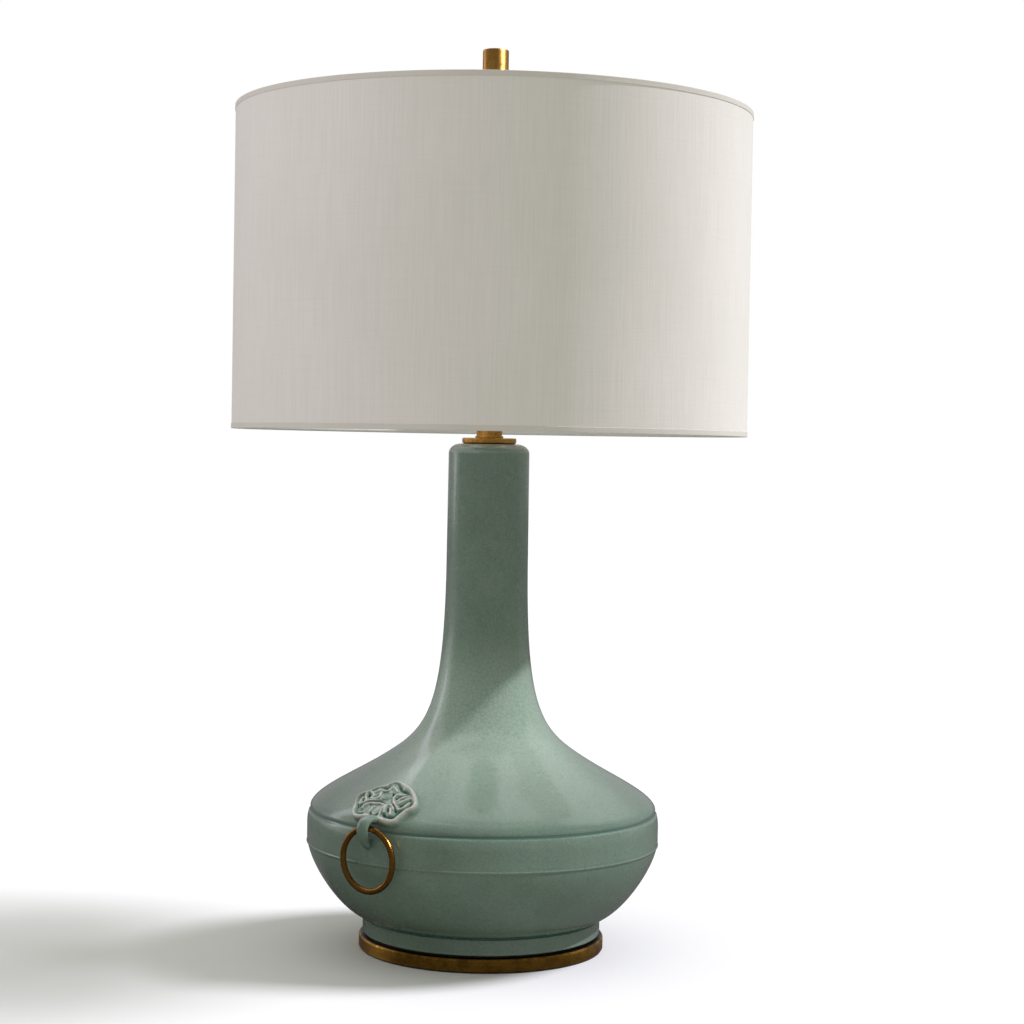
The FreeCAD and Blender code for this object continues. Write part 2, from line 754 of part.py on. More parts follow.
def harp_saddle():
    """Bent strap: flat over the collar, then up into two narrow arms."""
    inner_x = SADDLE_ARM_X - SADDLE_T / 2
    outer_x = SADDLE_ARM_X + SADDLE_T / 2
    arm_top = SADDLE_TOP + SADDLE_ARM_H
    bend_in = SADDLE_BEND_R - SADDLE_T
    side = rounded_run([
        (-outer_x, arm_top, 0),
        (-outer_x, COLLAR_TOP, SADDLE_BEND_R),
        (outer_x, COLLAR_TOP, SADDLE_BEND_R),
        (outer_x, arm_top, 0),
        (inner_x, arm_top, 0),
        (inner_x, SADDLE_TOP, bend_in),
        (-inner_x, SADDLE_TOP, bend_in),
        (-inner_x, arm_top, 0),
    ], True)
    strap = Part.Face(side).extrude(Vector(0, SADDLE_W, 0))
    strap.translate(Vector(0, -SADDLE_W / 2, 0))
    trim_w = (SADDLE_W - SADDLE_ARM_W) / 2
    trim_z = SADDLE_TOP + SADDLE_NECK_H
    for low_y in (-SADDLE_W / 2, SADDLE_ARM_W / 2):
        corner = Vector(-2 * outer_x, low_y, trim_z)
        strap = strap.cut(Part.makeBox(4 * outer_x, trim_w, SADDLE_ARM_H, corner))
    return strap.cut(rod(STEM_HOLE_R, at(0, CAP_Z), UP, HARP_H))


def harp_wire():
    leg_top = HARP_LEG_Z + HARP_LEG_L
    bow_low = SADDLE_TOP + HARP_BOW_UP
    half = [
        (HARP_LEG_X, HARP_LEG_Z, 0),
        (HARP_LEG_X, leg_top, HARP_BEND_R),
        (HARP_BOW_X, bow_low, HARP_BEND_R),
        (HARP_BOW_X, HARP_WIRE_TOP_Z, HARP_TOP_BEND_R),
    ]
    other = [(-x, z, radius) for x, z, radius in half[::-1]]
    return half + other


def harp_bow():
    return bent_wire(harp_wire(), HARP_WIRE_R)


def harp_stud():
    """Seat for the shade's washer, cradled on the wire, with the threaded stud."""
    seat = turned([
        (0, HARP_TOP - HARP_SEAT_T, 0),
        (HARP_SEAT_R, HARP_TOP - HARP_SEAT_T, 0),
        (HARP_SEAT_R, HARP_TOP, 0),
        (STUD_R, HARP_TOP, 0),
        (STUD_R, HARP_TOP + STUD_L, 0),
        (0, HARP_TOP + STUD_L, 0),
    ])
    top_run = rod(HARP_WIRE_R, at(-HARP_BOW_X, HARP_WIRE_TOP_Z), Vector(1, 0, 0), 2 * HARP_BOW_X)
    return seat.cut(top_run)


def harp_ferrule(side):
    low = HARP_LEG_Z + FERRULE_UP
    sleeve = tube(FERRULE_BORE_R + FERRULE_WALL, FERRULE_BORE_R, low, low + FERRULE_H)
    sleeve.translate(Vector(side * FERRULE_X, 0, 0))
    return sleeve


# ---- Socket ----------------------------------------------------------------------------------

def socket_cap():
    hub_top = SADDLE_TOP + SOCKET_HUB_H
    cone_top = hub_top + SOCKET_CAP_CONE_H
    rim = SADDLE_TOP + SOCKET_CAP_H
    hub_in = SOCKET_HUB_R - SOCKET_CAP_T
    cap = turned([
        (STEM_R, SADDLE_TOP, 0),
        (SOCKET_HUB_R, SADDLE_TOP, 0),
        (SOCKET_HUB_R, hub_top, SOCKET_HUB_EDGE_R),
        (SOCKET_CAP_R, cone_top, SOCKET_CAP_EDGE_R),
        (SOCKET_CAP_R, rim, 0),
        (SOCKET_CAP_R - SOCKET_CAP_T, rim, 0),
        (SOCKET_CAP_R - SOCKET_CAP_T, cone_top + SOCKET_CAP_T, SOCKET_CAP_EDGE_R - SOCKET_CAP_T),
        (hub_in, hub_top + SOCKET_CAP_T, 0),
        (STEM_R, hub_top + SOCKET_CAP_T, 0),
    ])
    return cap.cut(set_screw_rod(SOCKET_HUB_R))


def set_screw_rod(length):
    middle = Vector(0, STEM_R, SADDLE_TOP + SOCKET_HUB_H / 2)
    return rod(SET_SCREW_R, middle, Vector(0, 1, 0), length)


def socket_set_screw():
    screw = set_screw_rod(SOCKET_HUB_R - STEM_R + SET_SCREW_PROUD)
    return screw.cut(rod(STEM_R, ORIGIN, UP, HARP_TOP))


def switch_rod(radius, start_y, end_y):
    """Cylinder on the switch's axis, from a nearer to a farther distance in front."""
    return rod(radius, Vector(0, -start_y, SWITCH_Z), Vector(0, -1, 0), end_y - start_y)


def socket_shell():
    shell = tube(SHELL_R, SHELL_R - SHELL_T, SHELL_Z, SHELL_Z + SHELL_L)
    return shell.cut(switch_rod(SWITCH_SHAFT_R + SWITCH_SLOT_PLAY, CORE_R / 2, KNOB_START))


def socket_insulator():
    sleeve = tube(SOCKET_LINER_R, SOCKET_LINER_R - LINER_T, SHELL_Z + LINER_END,
                  SHELL_Z + SHELL_L - LINER_END)
    return sleeve.cut(switch_rod(SWITCH_SHAFT_R + SWITCH_SLOT_PLAY, CORE_R / 2, KNOB_START))


def terminal_screws():
    """Pair of screws on the flats of the socket's core."""
    shapes = []
    for side in (-1, 1):
        out = Vector(side, 0, 0)
        face = Vector(side * TERMINAL_FLAT_X, 0, SWITCH_Z)
        head = rod(TERMINAL_HEAD_R, face, out, TERMINAL_HEAD_T)
        shank = rod(TERMINAL_SHANK_R, face - out * TERMINAL_SHANK_L, out, TERMINAL_SHANK_L)
        shapes.append(head.fuse(shank))
    return Part.makeCompound(shapes)


def socket_core():
    """Moulded switch body, with flats for the terminals and a bore for the switch shaft."""
    core = rod(CORE_R, at(0, CORE_Z), UP, CORE_H)
    for side in (-1, 1):
        low_x = TERMINAL_FLAT_X if side > 0 else -TERMINAL_FLAT_X - CORE_R
        corner = Vector(low_x, -CORE_R, CORE_Z - CORE_H)
        core = core.cut(Part.makeBox(CORE_R, 2 * CORE_R, 2 * CORE_H, corner))
    core = core.cut(terminal_screws())
    return core.cut(switch_rod(SWITCH_SHAFT_R + SWITCH_RUN, CORE_R - SWITCH_DEPTH, 2 * CORE_R))


def screw_shell():
    return tube(SCREW_SHELL_R, SCREW_SHELL_R - SCREW_SHELL_T, CORE_TOP, CORE_TOP + SCREW_SHELL_L)


def center_contact():
    return rod(CONTACT_R, at(0, CORE_TOP), UP, CONTACT_T)


def switch_shaft():
    return switch_rod(SWITCH_SHAFT_R, CORE_R - SWITCH_DEPTH + SWITCH_RUN,
                      KNOB_START + KNOB_SOCKET_L)


def switch_knob():
    """Fluted knob, bored for the shaft."""
    knob = turned([
        (0, 0, 0),
        (KNOB_R, 0, KNOB_EDGE_R),
        (KNOB_R, KNOB_L, KNOB_EDGE_R),
        (0, KNOB_L, 0),
    ])
    for step in range(KNOB_FLUTES):
        angle = 2 * math.pi * step / KNOB_FLUTES
        place = Vector(KNOB_R * math.cos(angle), KNOB_R * math.sin(angle), -KNOB_L)
        knob = knob.cut(rod(KNOB_FLUTE_R, place, UP, 3 * KNOB_L))
    knob = knob.cut(rod(SWITCH_SHAFT_R, ORIGIN, UP, KNOB_SOCKET_L))
    knob.rotate(ORIGIN, Vector(1, 0, 0), 90)
    knob.translate(Vector(0, -KNOB_START, SWITCH_Z))
    return knob


# ---- Bulb ------------------------------------------------------------------------------------

def bulb_tip():
    return rod(BULB_TIP_R, at(0, BULB_TIP_Z), UP, BULB_TIP_T)


def bulb_insulator():
    return turned([
        (0, BULB_INSULATOR_Z, 0),
        (BULB_TIP_R + BULB_TIP_LAND, BULB_INSULATOR_Z, 0),
        (BULB_CAP_R - BULB_THREAD_D, BULB_CAP_Z, 0),
        (0, BULB_CAP_Z, 0),
    ])


def bulb_cap():
    """Screw cap: a closed cup whose side is rolled into rounded threads."""
    root = BULB_CAP_R - BULB_THREAD_D
    inside = root - BULB_CAP_T
    pitch = BULB_CAP_L / BULB_THREADS
    side = []
    for step in range(BULB_THREADS):
        low = BULB_CAP_Z + step * pitch
        side.append(arc((root, low), (BULB_CAP_R, low + pitch / 2), (root, low + pitch)))
    wall = [
        line((root, BULB_CAP_TOP), (inside, BULB_CAP_TOP)),
        line((inside, BULB_CAP_TOP), (inside, BULB_CAP_Z + BULB_CAP_T)),
        line((inside, BULB_CAP_Z + BULB_CAP_T), (0, BULB_CAP_Z + BULB_CAP_T)),
        line((0, BULB_CAP_Z + BULB_CAP_T), (0, BULB_CAP_Z)),
        line((0, BULB_CAP_Z), (root, BULB_CAP_Z)),
    ]
    return spun(Part.Wire(Part.__sortEdges__(side + wall)))


def bulb_glass():
    """Pear-shaped envelope whose neck sits in the cap."""
    neck_r = BULB_CAP_R - BULB_THREAD_D - BULB_CAP_T
    foot = BULB_CAP_TOP - BULB_GLASS_SINK
    widest = BULB_CAP_TOP + BULB_WIDEST_UP
    top = BULB_CAP_TOP + BULB_GLASS_H
    flank = bezier([
        (neck_r, BULB_CAP_TOP),
        (BULB_NECK_R, BULB_CAP_TOP + BULB_NECK_HANDLE),
        (BULB_R, widest - BULB_LOW_HANDLE),
        (BULB_R, widest),
    ])
    crown_h = top - widest
    crown = bezier([
        (BULB_R, widest),
        (BULB_R, widest + crown_h * ROUND_HANDLE),
        (BULB_R * ROUND_HANDLE, top),
        (0, top),
    ])
    inner = beside(flank, -BULB_GLASS_T) + beside(crown, -BULB_GLASS_T)[1:]
    inner[-1] = at(0, top - BULB_GLASS_T)
    low_in = (inner[0].x, inner[0].z)
    edges = [
        line((neck_r, foot), (neck_r, BULB_CAP_TOP)),
        flank.toShape(),
        crown.toShape(),
        line((0, top), (0, top - BULB_GLASS_T)),
        smooth(inner[::-1]),
        line(low_in, (low_in[0], foot)),
        line((low_in[0], foot), (neck_r, foot)),
    ]
    return spun(Part.Wire(Part.__sortEdges__(edges)))


# ---- Shade -----------------------------------------------------------------------------------

def shade_washer():
    return tube(SPIDER_WASHER_R, STUD_R + SPIDER_HOLE_PLAY, HARP_TOP, WASHER_TOP)


def rim_ring(z):
    return Part.makeTorus(RIM_R, RIM_WIRE_R, at(0, z), UP)


def top_rim_z():
    return SHEET_TOP - RIM_WIRE_R


def bottom_rim_z():
    return SHEET_BOTTOM + RIM_WIRE_R


def spider_arm(azimuth):
    """Wire welded under the washer, out to the wall and up to the top ring."""
    run_z = HARP_TOP - SPIDER_ARM_R
    wire = bent_wire([
        (SPIDER_ARM_START, run_z, 0),
        (RIM_R, run_z, SPIDER_BEND_R),
        (RIM_R, top_rim_z(), 0),
    ], SPIDER_ARM_R)
    return faced(wire.cut(rim_ring(top_rim_z())), azimuth)


def shade_liner():
    return tube(SHADE_SHEET_R, SHADE_INNER_R, SHEET_BOTTOM, SHEET_TOP)


def shade_fabric():
    return tube(SHADE_R, SHADE_SHEET_R, SHEET_BOTTOM, SHEET_TOP)


def hem(edge_z, inward):
    """Band of cloth rolled over an edge of the shade; inward is +1 at the bottom, -1 at the top."""
    sheet_z = edge_z + inward * HEM_T
    return turned([
        (RIM_R, edge_z, 0),
        (SHADE_R + HEM_PROUD, edge_z, 0),
        (SHADE_R + HEM_PROUD, edge_z + inward * HEM_H, 0),
        (SHADE_R, edge_z + inward * HEM_H, 0),
        (SHADE_R, sheet_z, 0),
        (RIM_R, sheet_z, 0),
    ])


def shade_seam():
    """Overlap of the cloth, down the back."""
    outer = SHADE_R + SEAM_T
    low = SHADE_BOTTOM + HEM_H
    strip = tube(outer, SHADE_R, low, SHADE_TOP - HEM_H)
    return strip.common(Part.makeBox(SEAM_W, outer, SHADE_H, Vector(-SEAM_W / 2, outer / 2, low)))


# ---- Finial ----------------------------------------------------------------------------------

def finial():
    top = WASHER_TOP + FINIAL_H
    bore_r = STUD_R + FINIAL_BORE_PLAY
    bore_top = HARP_TOP + STUD_L + FINIAL_BORE_SPARE
    return turned([
        (bore_r, WASHER_TOP, 0),
        (FINIAL_R, WASHER_TOP, 0),
        (FINIAL_R, top, FINIAL_EDGE_R),
        (0, top, 0),
        (0, bore_top, 0),
        (bore_r, bore_top, 0),
    ])


# ---- Assembly --------------------------------------------------------------------------------

def main():
    os.makedirs("parts", exist_ok=True)
    save("felt_pad", felt_pad())
    pan = base_pan()
    save("base_pan", pan)
    save("cord_bushing", cord_bushing(pan))
    save("base_washer", base_washer())
    save("base_lock_washer", base_lock_washer())
    save("base_nut", base_nut())
    save("stem_pipe", stem_pipe())
    save("seat_gasket", seat_gasket())

    jar = jar_body()
    save("jar_body", jar)
    sprig = cloud()
    strap = loop(jar, sprig)
    for side, azimuth in LOOP_AZIMUTHS.items():
        save("cloud_" + side, faced(sprig, azimuth))
        save("ring_loop_" + side, faced(strap, azimuth))
        save("ring_handle_" + side, faced(hanging_ring(), azimuth))

    save("cap_gasket", cap_gasket())
    save("vase_cap", vase_cap())
    save("neck_collar", neck_collar())
    save("harp_saddle", harp_saddle())
    save("harp_bow", harp_bow())
    save("harp_stud", harp_stud())
    save("harp_ferrule_left", harp_ferrule(-1))
    save("harp_ferrule_right", harp_ferrule(1))

    save("socket_cap", socket_cap())
    save("socket_set_screw", socket_set_screw())
    save("socket_shell", socket_shell())
    save("socket_insulator", socket_insulator())
    save("socket_core", socket_core())
    save("terminal_screws", terminal_screws())
    save("screw_shell", screw_shell())
    save("center_contact", center_contact())
    save("switch_shaft", switch_shaft())
    save("switch_knob", switch_knob())

    save("bulb_tip", bulb_tip())
    save("bulb_insulator", bulb_insulator())
    save("bulb_cap", bulb_cap())
    save("bulb_glass", bulb_glass())

    save("shade_washer", shade_washer())
    for number in range(SPIDER_ARMS):
        azimuth = SPIDER_AZIMUTH + number * 360.0 / SPIDER_ARMS
        save("spider_arm_" + str(number + 1), spider_arm(azimuth))
    save("top_ring", rim_ring(top_rim_z()))
    save("bottom_ring", rim_ring(bottom_rim_z()))
    save("shade_liner", shade_liner())
    save("shade_fabric", shade_fabric())
    save("top_hem", hem(SHADE_TOP, -1))
    save("bottom_hem", hem(SHADE_BOTTOM, 1))
    save("shade_seam", shade_seam())
    save("finial", finial())


main()
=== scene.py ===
import math

import bmesh
import bpy
import numpy as np
from mathutils import Matrix, Vector


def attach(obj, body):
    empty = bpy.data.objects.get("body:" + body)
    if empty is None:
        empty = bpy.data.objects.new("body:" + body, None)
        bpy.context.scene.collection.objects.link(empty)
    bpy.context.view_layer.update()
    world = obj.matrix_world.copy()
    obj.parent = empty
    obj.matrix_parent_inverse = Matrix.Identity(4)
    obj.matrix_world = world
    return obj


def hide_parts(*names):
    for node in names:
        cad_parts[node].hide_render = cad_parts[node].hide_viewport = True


# A table lamp: a celadon bottle vase on a brass foot, an applied cloud and a hanging brass ring
# on each side of its shoulder, and a linen drum shade. Shapes are worked out in millimetres, in
# the CAD's frame: +Z is up, the front is -Y, and the origin is the bottom centre of the felt.

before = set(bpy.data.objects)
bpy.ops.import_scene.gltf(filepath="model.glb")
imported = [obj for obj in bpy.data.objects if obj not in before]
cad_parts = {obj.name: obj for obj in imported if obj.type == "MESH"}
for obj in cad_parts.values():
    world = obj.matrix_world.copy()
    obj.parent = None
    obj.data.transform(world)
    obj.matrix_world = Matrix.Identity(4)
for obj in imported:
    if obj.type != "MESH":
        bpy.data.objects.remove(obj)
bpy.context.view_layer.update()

MM = 0.001

# ---- Sizes, in millimetres -------------------------------------------------------------------

JAR_Z = 12.6
JAR_TOP = 400.4
FOOT_R = 94.4
FOOT_INNER_R = 84.4
FOOT_EDGE_R = 1.4
FOOT_H = 14.4
FOOT_GROOVE_W = 2.2
FOOT_GROOVE_D = 1.0
FOOT_RECESS_H = 11.4
BOWL_LEDGE = 1.1
BOWL_LOW_HANDLE = (18.0, 4.7)
BOWL_TOP_HANDLE = (3.6, 17.7)
BAND_R = 139.7
BAND_LOW = 70.8
BAND_HIGH = 97.1
BEAD_W = 2.2
BEAD_D = 0.3
BAND_LEAN = 1.2
BAND_LEAN_H = 9.0
GROOVE_W = 3.2
GROOVE_D = 0.8
GROOVE_DROP = 1.3
SHOULDER_STEP = 2.5
SHOULDER_EDGE_HANDLE = (1.5, 9.6)
SHOULDER_MID = (84.0, 149.0)
SHOULDER_SLOPE = 32.1
SHOULDER_HANDLE = 24.9
FLARE_LOW_HANDLE = 45.9
FLARE_HIGH_HANDLE = 131.3
NECK_LOW = (32.4, 315.5)
NECK_TOP_R = 32.0
LIP_W = 10.0
LIP_H = 7.5
MOUTH_R = 17.0
MOUTH_T = 7.0
JAR_HOLE_R = 7.0
JAR_WALL = 6.0
JAR_FLOOR_T = 7.0
JAR_FLOOR_R = (92.0, 50.0)
INSIDE_SPAN = (40.0, 370.0)
JAR_COLUMNS = 240

CLOUD_AZIMUTH = -36.0
CLOUD_AT = 0.53
CLOUD_ROWS = 96
CLOUD_COLUMNS = 440
CLOUD_FLOOR = 3.5
CLOUD_SINK = 0.8
LOOP_ROUTE = (
    (133.0, 0.0, 117.2), (138.5, 0.0, 118.9), (144.2, 0.0, 119.7), (149.3, 0.0, 117.8),
    (151.2, -0.5, 113.2), (149.8, -1.4, 108.4), (146.6, -2.6, 104.0), (142.8, -3.8, 100.2),
    (139.0, -4.8, 97.2))
LOOP_HALF_WIDTH = ((0, 0.18, 0.45, 0.8, 1), (5.4, 5.1, 5.0, 4.4, 3.2))
LOOP_HALF_THICKNESS = ((0, 0.2, 0.5, 0.8, 1), (2.6, 2.8, 2.9, 2.6, 2.0))
LOOP_ROWS = 72
LOOP_COLUMNS = 40
LOOP_CLEARANCE = 0.35
RING_PIVOT = (145.0, 112.65)
RING_MEAN_R = 23.5
RING_WIRE_R = 2.35

PAN_TOP = 11.2
FELT_R = 96.6
FELT_T = 1.5
FINIAL_R = 10.3
FINIAL_BORE_R = 3.225
FINIAL_LOW = 648.4
FINIAL_TOP = 711.2
SHADE_R = 203.2
SHADE_SHEET_R = 202.5
SHADE_INNER_R = 201.7
SHADE_LOW = 409.1
SHADE_TOP = 661.1
HEM_R = 203.6
HEM_H = 4.0
HEM_T = 0.5
RIM_R = 199.85
SEAM_W = 12.0
SEAM_T = 0.3


# ---- Curves ----------------------------------------------------------------------------------

def bezier(a, b, c, d, count):
    """Points of a cubic: the four poles weighted by the powers of t and 1 - t."""
    t = np.linspace(0, 1, count)[:, None]
    a, b, c, d = (np.array(p, float) for p in (a, b, c, d))
    return (1 - t) ** 3 * a + 3 * t * (1 - t) ** 2 * b + 3 * t ** 2 * (1 - t) * c + t ** 3 * d


def arc(a, middle, b, count):
    """Points of a shallow arc: a parabola through both ends and the middle point."""
    t = np.linspace(0, 1, count)[:, None]
    a, middle, b = (np.array(p, float) for p in (a, middle, b))
    return a + (b - a) * t + 4 * t * (1 - t) * (middle - (a + b) / 2)


def straight(a, b, spacing):
    """Points of a straight run, with a margin point close to each end so that edges stay crisp."""
    a, b = np.array(a, float), np.array(b, float)
    length = np.linalg.norm(b - a)
    margin = min(0.2, length / 4)
    inside = np.linspace(margin, length - margin, max(2, int(length / spacing) + 1))
    t = np.concatenate([[0], inside, [length]])[:, None] / length
    return a + (b - a) * t


def joined(*runs):
    """Runs laid end to end, without the points that two runs share."""
    points = np.concatenate(runs)
    keep = np.linalg.norm(np.diff(points, axis=0, prepend=points[-1:]), axis=1) > 1e-6
    return points[keep]


def rounded(corners, spacing=4.0, steps=5, closed=True):
    """Straight runs through the corners. Each corner turns on an arc of its own radius."""
    places = [np.array(c[:-1], float) for c in corners]
    ends = []
    for i, corner in enumerate(corners):
        here, radius = places[i], corner[-1]
        at_end = not closed and i in (0, len(corners) - 1)
        if radius == 0 or at_end:
            ends.append(here[None])
            continue
        back = places[i - 1] - here
        on = places[(i + 1) % len(corners)] - here
        back, on = back / np.linalg.norm(back), on / np.linalg.norm(on)
        half = math.acos(np.clip(back @ on, -1, 1)) / 2
        turn = math.pi - 2 * half
        centre = here + (back + on) / np.linalg.norm(back + on) * radius / math.sin(half)
        first = here + back * radius / math.tan(half) - centre
        last = here + on * radius / math.tan(half) - centre
        t = np.linspace(0, 1, steps + 1)[:, None]
        ends.append(centre + (np.sin((1 - t) * turn) * first + np.sin(t * turn) * last)
                    / math.sin(turn))
    runs = []
    for i, turned in enumerate(ends):
        runs.append(turned)
        if closed or i + 1 < len(ends):
            runs.append(straight(turned[-1], ends[(i + 1) % len(ends)][0], spacing))
    return joined(*runs)


def along(points, closed=False):
    """Length walked to each point."""
    steps = np.linalg.norm(np.diff(points, axis=0), axis=1)
    walked = np.concatenate([[0], np.cumsum(steps)])
    if closed:
        walked = np.append(walked, walked[-1] + np.linalg.norm(points[0] - points[-1]))
    return walked


def smooth_through(points, count, closed=False):
    """Catmull-Rom curve through the points, sampled at equal steps of its parameter."""
    p = np.array(points, float)
    if closed:
        p = np.concatenate([p[-1:], p, p[:2]])
    else:
        p = np.concatenate([2 * p[:1] - p[1:2], p, 2 * p[-1:] - p[-2:-1]])
    spans = len(p) - 3
    s = np.linspace(0, spans, count, endpoint=not closed)
    i = np.minimum(s.astype(int), spans - 1)
    t = (s - i)[:, None]
    a, b, c, d = p[i], p[i + 1], p[i + 2], p[i + 3]
    return 0.5 * (2 * b + (c - a) * t + (2 * a - 5 * b + 4 * c - d) * t ** 2
                  + (3 * b - a - 3 * c + d) * t ** 3)


# ---- Surfaces --------------------------------------------------------------------------------

def surface(name, points, body, finish, stands_for=(), closed_rows=False,
            closed_columns=True, uv=None, relief=None):
    """A piece from a grid of points, a row at a time. A face joins each point to the next in its
    row and to the row after, and faces out of (step along the row) x (step to the next row)."""
    rows, columns = points.shape[:2]
    row, column = np.meshgrid(np.arange(rows - (not closed_rows)),
                              np.arange(columns - (not closed_columns)), indexing="ij")
    up, on = (row + 1) % rows, (column + 1) % columns
    corners = np.stack([row * columns + column, row * columns + on,
                        up * columns + on, up * columns + column], -1).reshape(-1, 4)
    mesh = bpy.data.meshes.new(name)
    mesh.from_pydata(points.reshape(-1, 3) * MM, [], corners)
    if uv is not None:
        across, up_the_piece = uv
        u = across[np.stack([column, column + 1, column + 1, column], -1)]
        v = up_the_piece[np.stack([row, row, row + 1, row + 1], -1)]
        mesh.uv_layers.new(name="UVMap").data.foreach_set("uv", np.stack([u, v], -1).ravel() * MM)
    heights = np.zeros(rows * columns) if relief is None else relief.ravel()
    mesh.attributes.new("relief", "FLOAT", "POINT").data.foreach_set("value", heights)
    weld(mesh)
    mesh.polygons.foreach_set("use_smooth", np.ones(len(mesh.polygons), bool))
    mesh.set_sharp_from_angle(angle=math.radians(50))
    piece = bpy.data.objects.new(name, mesh)
    bpy.context.scene.collection.objects.link(piece)
    mesh.materials.append(finish)
    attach(piece, body)
    if stands_for:
        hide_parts(*stands_for)
    return piece


def weld(mesh):
    """Merges the points that meet at a pole or a seam."""
    work = bmesh.new()
    work.from_mesh(mesh)
    bmesh.ops.remove_doubles(work, verts=work.verts, dist=1e-7)
    work.to_mesh(mesh)
    work.free()


def turn_table(profile, columns):
    """Radius and height carried round the axis: (r cos a, r sin a, z), starting at the back."""
    angle = np.linspace(0, math.tau, columns, endpoint=False) + math.pi / 2
    r, z = profile[:, :1], profile[:, 1:]
    return np.stack([r * np.cos(angle), r * np.sin(angle), z + 0 * angle], -1)


def turned(name, profile, body, finish, slot, stands_for=(), columns=128, closed=True,
           relief=None):
    """A lathe piece. Its profile runs up the outside and down the inside."""
    walked = along(profile, closed)
    girth = np.linspace(0, math.tau * profile[:, 0].max(), columns + 1)
    marks = None if relief is None else relief[:, None] + np.zeros(columns)
    return surface(name, turn_table(profile, columns), body, finish, stands_for,
                   closed_rows=closed, uv=(girth, walked), relief=marks)


def placed(points, azimuth):
    """Points given as (out from the axis, to the right, up), set at an azimuth from the front."""
    a = math.radians(azimuth)
    out = np.array((math.sin(a), -math.cos(a), 0))
    right = np.array((math.cos(a), math.sin(a), 0))
    up = np.array((0, 0, 1.0))
    return points[..., :1] * out + points[..., 1:2] * right + points[..., 2:] * up


def swept(path, across, outward, half_w, half_t, steps, power=2.0):
    """A superellipse of half width and half thickness carried along a path:
    path + across * w * sgn(cos) |cos|^(2/p) + outward * t * sgn(sin) |sin|^(2/p)."""
    turn = np.linspace(0, math.tau, steps, endpoint=False)
    c = np.sign(np.cos(turn)) * np.abs(np.cos(turn)) ** (2 / power)
    s = np.sign(np.sin(turn)) * np.abs(np.sin(turn)) ** (2 / power)
    return (path[:, None] + across[:, None] * (half_w[:, None] * c)[..., None]
            + outward[:, None] * (half_t[:, None] * s)[..., None])


# ---- Material parts --------------------------------------------------------------------------

class Tree:
    """Short words for adding and joining the nodes of one tree."""

    def __init__(self, tree):
        self.tree = tree

    def node(self, kind, **values):
        made = self.tree.nodes.new(kind)
        for key, value in values.items():
            if key.startswith("in_"):
                socket = key[3:]
                place = int(socket) if socket.isdigit() else socket.replace("_", " ")
                self.feed(made.inputs[place], value)
            else:
                setattr(made, key, value)
        return made

    def feed(self, socket, value):
        if isinstance(value, bpy.types.NodeSocket):
            self.tree.links.new(value, socket)
        elif isinstance(value, bpy.types.Node):
            self.tree.links.new(value.outputs[0], socket)
        else:
            socket.default_value = value

    def maths(self, operation, a, b=0.0, c=0.0, clamp=False):
        made = self.node("ShaderNodeMath", operation=operation, use_clamp=clamp)
        for socket, value in zip(made.inputs, (a, b, c)):
            self.feed(socket, value)
        return made.outputs[0]

    def mix(self, share, a, b, blend="MIX"):
        return self.node("ShaderNodeMix", data_type="RGBA", blend_type=blend, in_Factor=share,
                         in_A=a, in_B=b).outputs["Result"]

    def span(self, value, low, high, to_low=0.0, to_high=1.0):
        made = self.node("ShaderNodeMapRange", interpolation_type="SMOOTHSTEP", in_Value=value)
        for socket, number in zip(list(made.inputs)[1:5], (low, high, to_low, to_high)):
            socket.default_value = number
        return made.outputs["Result"]

    def place(self, vector, scale=(1, 1, 1), move=(0, 0, 0)):
        return self.node("ShaderNodeMapping", in_Vector=vector, in_Scale=scale,
                         in_Location=move).outputs[0]

    def noise(self, vector, scale, detail=2.0, rough=0.5, warp=0.0):
        return self.node("ShaderNodeTexNoise", in_Vector=vector, in_Scale=scale, in_Detail=detail,
                         in_Roughness=rough, in_Distortion=warp).outputs["Fac"]


def group(name, inputs, outputs):
    """An empty node group with named sockets: each input or output is (name, kind, value)."""
    tree = bpy.data.node_groups.new(name, "ShaderNodeTree")
    for direction, sockets in (("INPUT", inputs), ("OUTPUT", outputs)):
        for label, kind, value in sockets:
            socket = tree.interface.new_socket(label, in_out=direction,
                                               socket_type="NodeSocket" + kind)
            if value is not None:
                socket.default_value = value
    source = tree.nodes.new("NodeGroupInput")
    sink = tree.nodes.new("NodeGroupOutput")
    return Tree(tree), source.outputs, sink.inputs


def use(tree, shared, **values):
    """Places a shared group in a material, with its own values."""
    made = tree.node("ShaderNodeGroup", node_tree=shared)
    for key, value in values.items():
        tree.feed(made.inputs[key.replace("_", " ")], value)
    return made.outputs


def brushing_group():
    """Fine turned lines: noise squeezed along the direction that is stretched by the scale."""
    tree, given, out = group("fine_brushing", [
        ("Vector", "Vector", None), ("Stretch", "Vector", (1.0, 1.0, 1.0)),
        ("Depth", "Float", 0.5)], [("Lines", "Float", None), ("Streaks", "Float", None)])
    squeezed = tree.node("ShaderNodeVectorMath", operation="MULTIPLY", in_0=given["Vector"],
                         in_1=given["Stretch"]).outputs[0]
    fine = tree.noise(squeezed, 1.0, detail=4.0, rough=0.7)
    broad = tree.noise(tree.place(squeezed, scale=(0.22, 0.22, 0.22)), 1.0, detail=3.0)
    centred = tree.maths("SUBTRACT", fine, 0.5)
    tree.feed(out["Lines"], tree.maths("MULTIPLY", centred, given["Depth"]))
    tree.feed(out["Streaks"], tree.span(broad, 0.36, 0.64))
    return tree.tree


